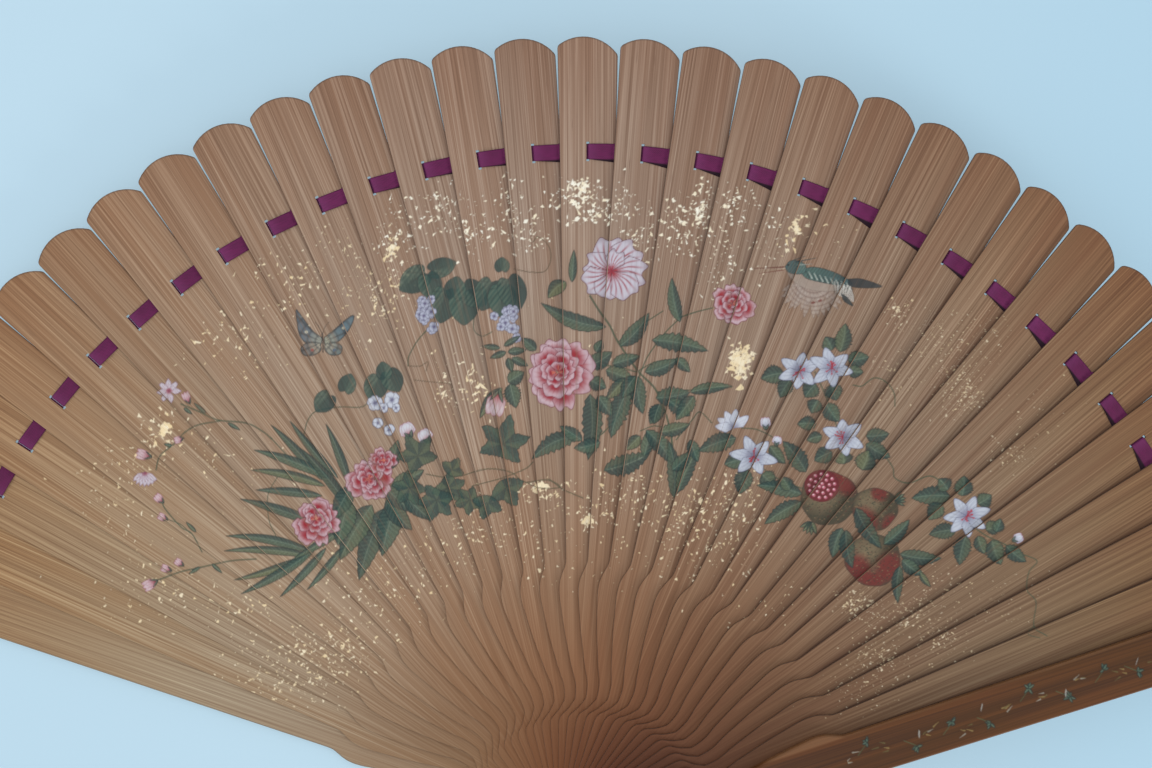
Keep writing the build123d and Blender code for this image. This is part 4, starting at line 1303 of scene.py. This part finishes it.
def ribbon_strip(name, k, path, lift=None, thick=0.06, wide=RIBBON_W, skew=0.0, shadow_drop=0.0):
    """Closed strip along path, a list of (across, height) in blade k's own millimetres,
    heights in the fan's; lift(u, v) raises the cloth between its edges."""
    p = np.asarray(path, float)
    d = np.concatenate([[0], np.cumsum(np.hypot(*np.diff(p, axis=0).T))])
    n = 34
    s = np.linspace(0, d[-1], n)
    cx, cz = np.interp(s, d, p[:, 0]), np.interp(s, d, p[:, 1])
    tx, tz = np.gradient(cx), np.gradient(cz)
    m = np.hypot(tx, tz)
    nx, nz = -tz / m, tx / m
    flip = -1 if cx[-1] < cx[0] else 1
    cols = 11
    v = np.linspace(-1, 1, cols)
    verts, uvs = [], []
    for side in (1, -1):
        for i in range(n):
            for j in range(cols):
                h = (lift(cx[i], v[j]) if lift else 0.0)
                t = 0.5 * thick * side * flip * (0.55 if abs(v[j]) > 0.95 else 1.0)
                x = cx[i] + nx[i] * t
                # the lower edge drops towards the stick; it is coloured as painted shadow below
                below = shadow_drop * max(cx[i], 0) / 7.3 * max(0.0, -v[j] - 0.75) * 4 if shadow_drop else 0.0
                y = SLOT_R + v[j] * wide / 2 + skew * max(cx[i], 0) - below
                verts.append(to_row(k, x, y, cz[i] + h * (1 - min(1.0, below * 0.9)) + nz[i] * t))
                uvs.append((s[i], (v[j] + 1) * wide / 2 - below))
    faces = []
    N = n * cols
    for i in range(n - 1):
        for j in range(cols - 1):
            a = i * cols + j
            faces.append((a, a + cols, a + cols + 1, a + 1))
            faces.append((N + a, N + a + 1, N + a + cols + 1, N + a + cols))
    for i in range(n - 1):
        for j in (0, cols - 1):
            a = i * cols + j
            q = (a, N + a, N + a + cols, a + cols)
            faces.append(q if j == 0 else q[::-1])
    for i in (0, n - 1):
        for j in range(cols - 1):
            a = i * cols + j
            q = (a, a + 1, N + a + 1, N + a)
            faces.append(q if i == 0 else q[::-1])
    me = bpy.data.meshes.new(name)
    me.from_pydata(verts, [], faces)
    me.update()
    layer = me.uv_layers.new(name="UVMap")
    loops = np.zeros(len(me.loops), np.int32)
    me.loops.foreach_get("vertex_index", loops)
    layer.data.foreach_set("uv", np.asarray(uvs, np.float32)[loops].ravel())
    import bmesh
    bm = bmesh.new()
    bm.from_mesh(me)
    bmesh.ops.recalc_face_normals(bm, faces=bm.faces)
    bm.to_mesh(me)
    bm.free()
    for poly in me.polygons:
        poly.use_smooth = True
    return me


cloth = ribbon_material()
cloth_pieces = []
r = random.Random(12)
for k in range(BLADES - 1):
    top = z_top(k)
    rise = r.uniform(0.22, 0.40)
    skew = r.uniform(-0.045, 0.010)
    tip = r.uniform(0.15, 0.80)

    def lift(x, v, rise=rise, tip=tip):
        if x <= 0.35 or x >= 6.4:
            return 0.0
        q = (x - 0.35) / 6.05
        return rise * math.sin(math.pi * q) ** 0.8 * (1.0 - tip * v)

    start = [(0.05, top - 0.62), (0.10, top - 0.20), (0.20, top + 0.035), (0.40, top + 0.06)] if k else \
        [(-1.6, top + 0.035), (0.4, top + 0.06)]
    me = ribbon_strip("ribbon_front_%02d" % k, k, start + [(3.0, top + 0.06), (6.3, top + 0.055), (7.3, top + 0.045)], lift,
                      skew=skew, shadow_drop=max(0.0, min(1.5, (k - 9) * 0.17)) * r.uniform(0.6, 1.1))
    ob = add_piece("ribbon_front_%02d" % k, me, cloth)
    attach(ob, body_name(k))
    cloth_pieces.append(ob)
    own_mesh(ob)
for k in range(1, BLADES):
    low = z_bot(k)
    start = [(-0.02, low + 0.50), (-0.06, low + 0.10), (-0.14, low - 0.03), (-0.35, low - 0.036)] if k < BLADES - 1 else \
        [(1.2, low - 0.04), (0.0, low - 0.04)]
    me = ribbon_strip("ribbon_back_%02d" % k, k, start + [(-4.0, low - 0.036), (-7.4, low - 0.036)], None, thick=0.05)
    ob = add_piece("ribbon_back_%02d" % k, me, cloth)
    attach(ob, body_name(k))
    cloth_pieces.append(ob)
for ob in cloth_pieces:
    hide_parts("ribbon")


# ------------------------------------------------------------------ floor
def floor():
    g = Graph("floor")
    tc = g.node("ShaderNodeTexCoord")
    n = g.noise(g.mapping(tc.outputs["Object"], scale=(3, 3, 3)), 2.0)
    c = g.mix(g.ramp(n, 0.3, 0.7), (0.50, 0.70, 0.83), (0.54, 0.735, 0.86))
    sep = g.node("ShaderNodeSeparateXYZ")
    g.link(tc.outputs["Object"], sep.inputs[0])
    # painted shade: the floor darkens towards the right, where the light falls off
    c = g.mix(g.ramp(sep.outputs[0], 0.03, 0.17, 0.0, 1.0), c, (0.455, 0.68, 0.83))
    # painted light: the floor glows with its own colour to fill in the shadows on it, and its diffuse colour is lowered
    # to make up for the glow
    g.link(g.mix(1.0, c, (0.52, 0.52, 0.52), "MULTIPLY"), g.bsdf.inputs["Base Color"])
    g.link(c, g.bsdf.inputs["Emission Color"])
    g.bsdf.inputs["Emission Strength"].default_value = 0.475
    g.bsdf.inputs["Roughness"].default_value = 0.8
    bpy.ops.mesh.primitive_plane_add(size=3.0, location=(0, 0.1, -0.0002))
    ob = bpy.context.active_object
    ob.name = "floor"
    ob.data.materials.append(g.mat)
    return ob


floor()
